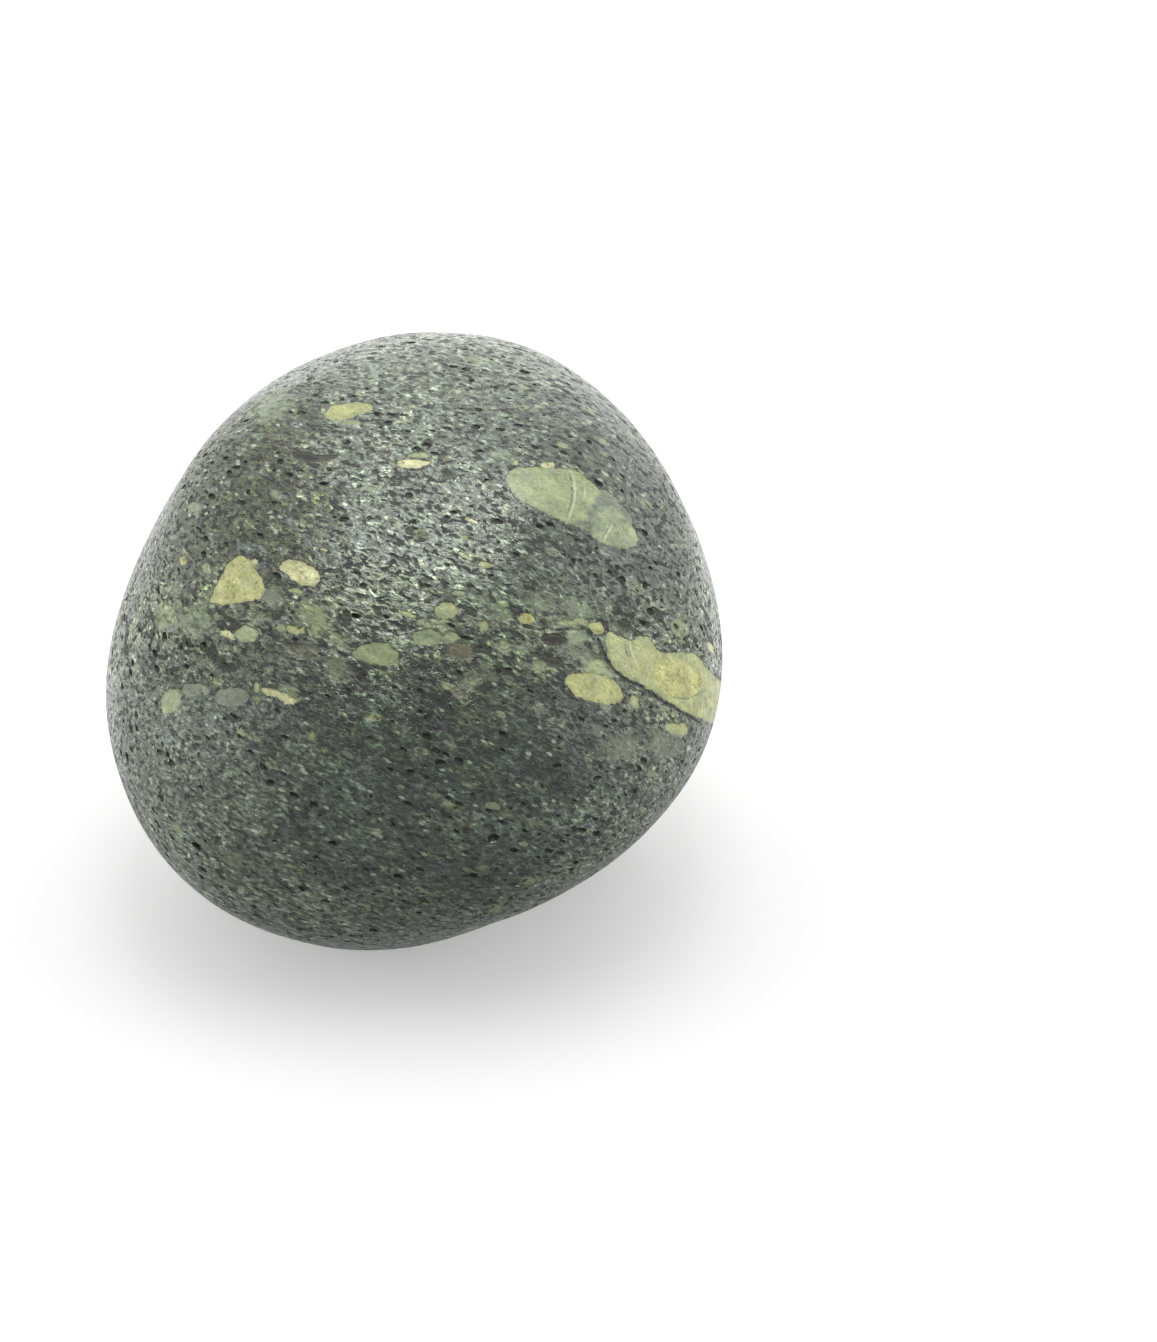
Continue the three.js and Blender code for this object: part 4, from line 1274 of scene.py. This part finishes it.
FLOOR_SIZE = 4  # to each side, in metres, like the other lengths of the studio
FLOOR_GREY = 0.70  # how much of its light the floor scatters to the eye
FLOOR_GLOW = 0.35  # how much it glows, which makes it white
FLOOR_NEAR, FLOOR_FAR = 0.03, 0.09  # how far out it is close by, and where it is far off
FLOOR_BOUNCE = 0.06  # how much of the light it throws back at the stone from close by
FAR_BOUNCE = 0.42  # the share of its full light that comes from farther off
SHEEN_DIM = (0.5, 0.05)  # how much it is dimmed in the stone's sheen, close by and far off
FLOOR_SHEEN = 1.3  # how much brighter it is there behind the stone
BEHIND = 0.06  # how far back it is so in full

SURROUND = 1.04  # the light that comes from all round the stone
FRONT_WAY = (0, -0.98, -0.17)
FRONT_SHADE = 0.9  # how much less of it comes from the front
SIDE_GLOW = 3.2  # how much more of it comes from both sides
REFLECTED = 2.1  # how bright the surroundings are in the stone's sheen
REFLECTED_FRONT_SHADE = 0.8
REFLECTED_SIDE_GLOW = 0.7

# The soft panels: where each hangs, its width and length, and its watts.
OVERHEAD = ((0.03, -0.22, 0.74), 0.2, 0.5, 0.95)
GLEAM = ((0.06, -0.25, 0.74), 0.13, 0.48, 7.8)  # seen in the sheen alone

LENS, SENSOR = 103.2, 36  # of the camera, in millimetres


def even_grey(value):
    return (value, value, value, 1)


def rays(nodes):
    """1 for the light that the stone scatters, and 1 for what it mirrors in its sheen."""
    return nodes.add("ShaderNodeLightPath", output=("Is Diffuse Ray", "Is Glossy Ray"))


def floor_white():
    """White to the eye. It throws little light at the stone from close by and more from farther
    off, and in the stone's sheen it is brighter behind the stone."""
    material = bpy.data.materials.new("floor_white")
    nodes = emptied_nodes(material)
    scattered, mirrored = rays(nodes)
    place = nodes.add("ShaderNodeTexCoord", {}, {}, output="Object")
    away = nodes.fade(nodes.length(place), FLOOR_NEAR, FLOOR_FAR)
    behind = nodes.fade(nodes.parts(place)[1], 0.0, BEHIND)
    glow = 1 + mirrored * behind * FLOOR_SHEEN
    lit = nodes.add("ShaderNodeBsdfDiffuse", {}, {"Color": even_grey(FLOOR_GREY)})
    dim = nodes.add("ShaderNodeBsdfDiffuse", {}, {"Color": even_grey(FLOOR_BOUNCE)})
    inputs = {"Color": even_grey(FLOOR_GLOW), "Strength": glow}
    glowing = nodes.add("ShaderNodeEmission", {}, inputs)
    white = nodes.add("ShaderNodeAddShader", {}, {0: lit, 1: glowing})
    dimmed = scattered * (1 - FAR_BOUNCE * away) + mirrored * between(SHEEN_DIM, away)
    shader = nodes.add("ShaderNodeMixShader", {}, {0: dimmed, 1: white, 2: dim})
    nodes.add("ShaderNodeOutputMaterial", {}, {"Surface": shader})
    return material


def floor():
    """The floor, which belongs to the studio."""
    shape = bmesh.new()
    bmesh.ops.create_grid(shape, x_segments=1, y_segments=1, size=FLOOR_SIZE)
    piece = piece_from(shape, "floor")
    piece.data.materials.append(floor_white())


def surroundings():
    """White all round the stone, dimmer in front of it and brighter at both sides."""
    world = bpy.data.worlds.new("studio")
    bpy.context.scene.world = world
    nodes = emptied_nodes(world)
    toward = nodes.add("ShaderNodeTexCoord", {}, {}, output="Generated")
    front = nodes.fade(nodes.vector("DOT_PRODUCT", toward, FRONT_WAY), 0.0, 0.9)
    aside = nodes.parts(toward)[0]
    beside = nodes.fade(aside * aside, 0.58, 1.0)
    scattered, mirrored = rays(nodes)
    light = SURROUND * (1 - FRONT_SHADE * front + SIDE_GLOW * beside)
    reflected = REFLECTED * (1 - REFLECTED_FRONT_SHADE * front + REFLECTED_SIDE_GLOW * beside)
    strength = 1 + scattered * (light - 1) + mirrored * (reflected - 1)
    sky = nodes.add("ShaderNodeBackground", {}, {"Color": (1, 1, 1, 1), "Strength": strength})
    nodes.add("ShaderNodeOutputWorld", {}, {"Surface": sky})


def soft_light(name, target, place, width, length, watts):
    """A long soft panel that faces the target."""
    light = bpy.data.lights.new(name, "AREA")
    light.shape = "RECTANGLE"
    light.size = width
    light.size_y = length
    light.energy = watts
    lamp = bpy.data.objects.new(name, light)
    lamp.location = place
    aim = Vector(target) - Vector(place)
    lamp.rotation_euler = aim.to_track_quat("-Z", "Y").to_euler()
    bpy.context.scene.collection.objects.link(lamp)
    return lamp


def studio(middle):
    """A white floor, white surroundings, a soft light overhead and a gleam beside it."""
    floor()
    surroundings()
    soft_light("overhead", middle, *OVERHEAD)
    gleam = soft_light("gleam", middle, *GLEAM)
    gleam.visible_diffuse = False
    bpy.context.scene.view_settings.view_transform = "Standard"


def camera(middle):
    """Looks at the shown face from in front and a little above."""
    data = bpy.data.cameras.new("camera")
    data.lens = LENS
    data.sensor_width = SENSOR
    eye = bpy.data.objects.new("camera", data)
    eye.location = Vector(middle) + Vector(SHOW_EYE * MM)
    eye.rotation_euler = (math.radians(90) - SHOW_RISE, 0, 0)
    bpy.context.scene.collection.objects.link(eye)
    bpy.context.scene.camera = eye


# ---- The stone -----------------------------------------------------------------------------------

CRISP_RIM = math.radians(42)  # a fold sharper than this isn't shaded smooth


def set_on_solid(stone):
    """Moves the stone from its own middle to where the solid stands, and gives that middle's place."""
    low, high = (np.array(corner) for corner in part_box("viewing_stone"))
    own = vertex_array(stone) * MM
    own_low, own_high = own.min(axis=0), own.max(axis=0)
    fit = np.minimum(1, (high - low) / (own_high - own_low))
    own_anchor, anchor = (own_low + own_high) / 2, (low + high) / 2
    own_anchor[2], anchor[2] = own_low[2], low[2]
    placed = (own - own_anchor) * fit + anchor
    stone.data.vertices.foreach_set("co", placed.astype(np.float32).ravel())
    stone.data.update()
    return tuple(float(value) for value in anchor - own_anchor * fit)


def note_marks(stone):
    """Keeps, for every vertex, how it lies to the pebbles, cracks, veins and hollows."""
    points = vertex_array(stone)
    marks = Marks(points)
    store(stone, "pebble", np.stack((marks.pebble, marks.tone, marks.softness), axis=1))
    skin = np.linalg.norm(surface_along(unit(points)), axis=1)
    sunk = np.maximum(0, skin - np.linalg.norm(points, axis=1))
    sunk[points[:, 2] < 0.05 - FOOT_BELOW_MIDDLE] = 0  # the flat of the foot is no hollow
    store(stone, "marks", np.stack((marks.crack, marks.vein, sunk), axis=1))


def soften(stone):
    """Shades the worn skin smooth and keeps the rims of the hollows crisp."""
    mesh = stone.data
    mesh.shade_smooth()
    mesh.set_sharp_from_angle(angle=CRISP_RIM)


def worn_stone():
    """The finished stone, in millimetres from its own middle."""
    finish = green_tuff()
    shape = worn_skin()
    open_cracks(shape)
    cut_foot(shape)
    stone = piece_from(shape, "worn_stone")
    cut_hollows(stone)
    break_out_small_pits(stone, finish)
    note_marks(stone)
    soften(stone)
    stone.data.materials.clear()
    stone.data.materials.append(finish)
    return stone


stone = worn_stone()
middle = set_on_solid(stone)
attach(stone, "root")
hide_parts("viewing_stone")
studio(middle)
camera(middle)
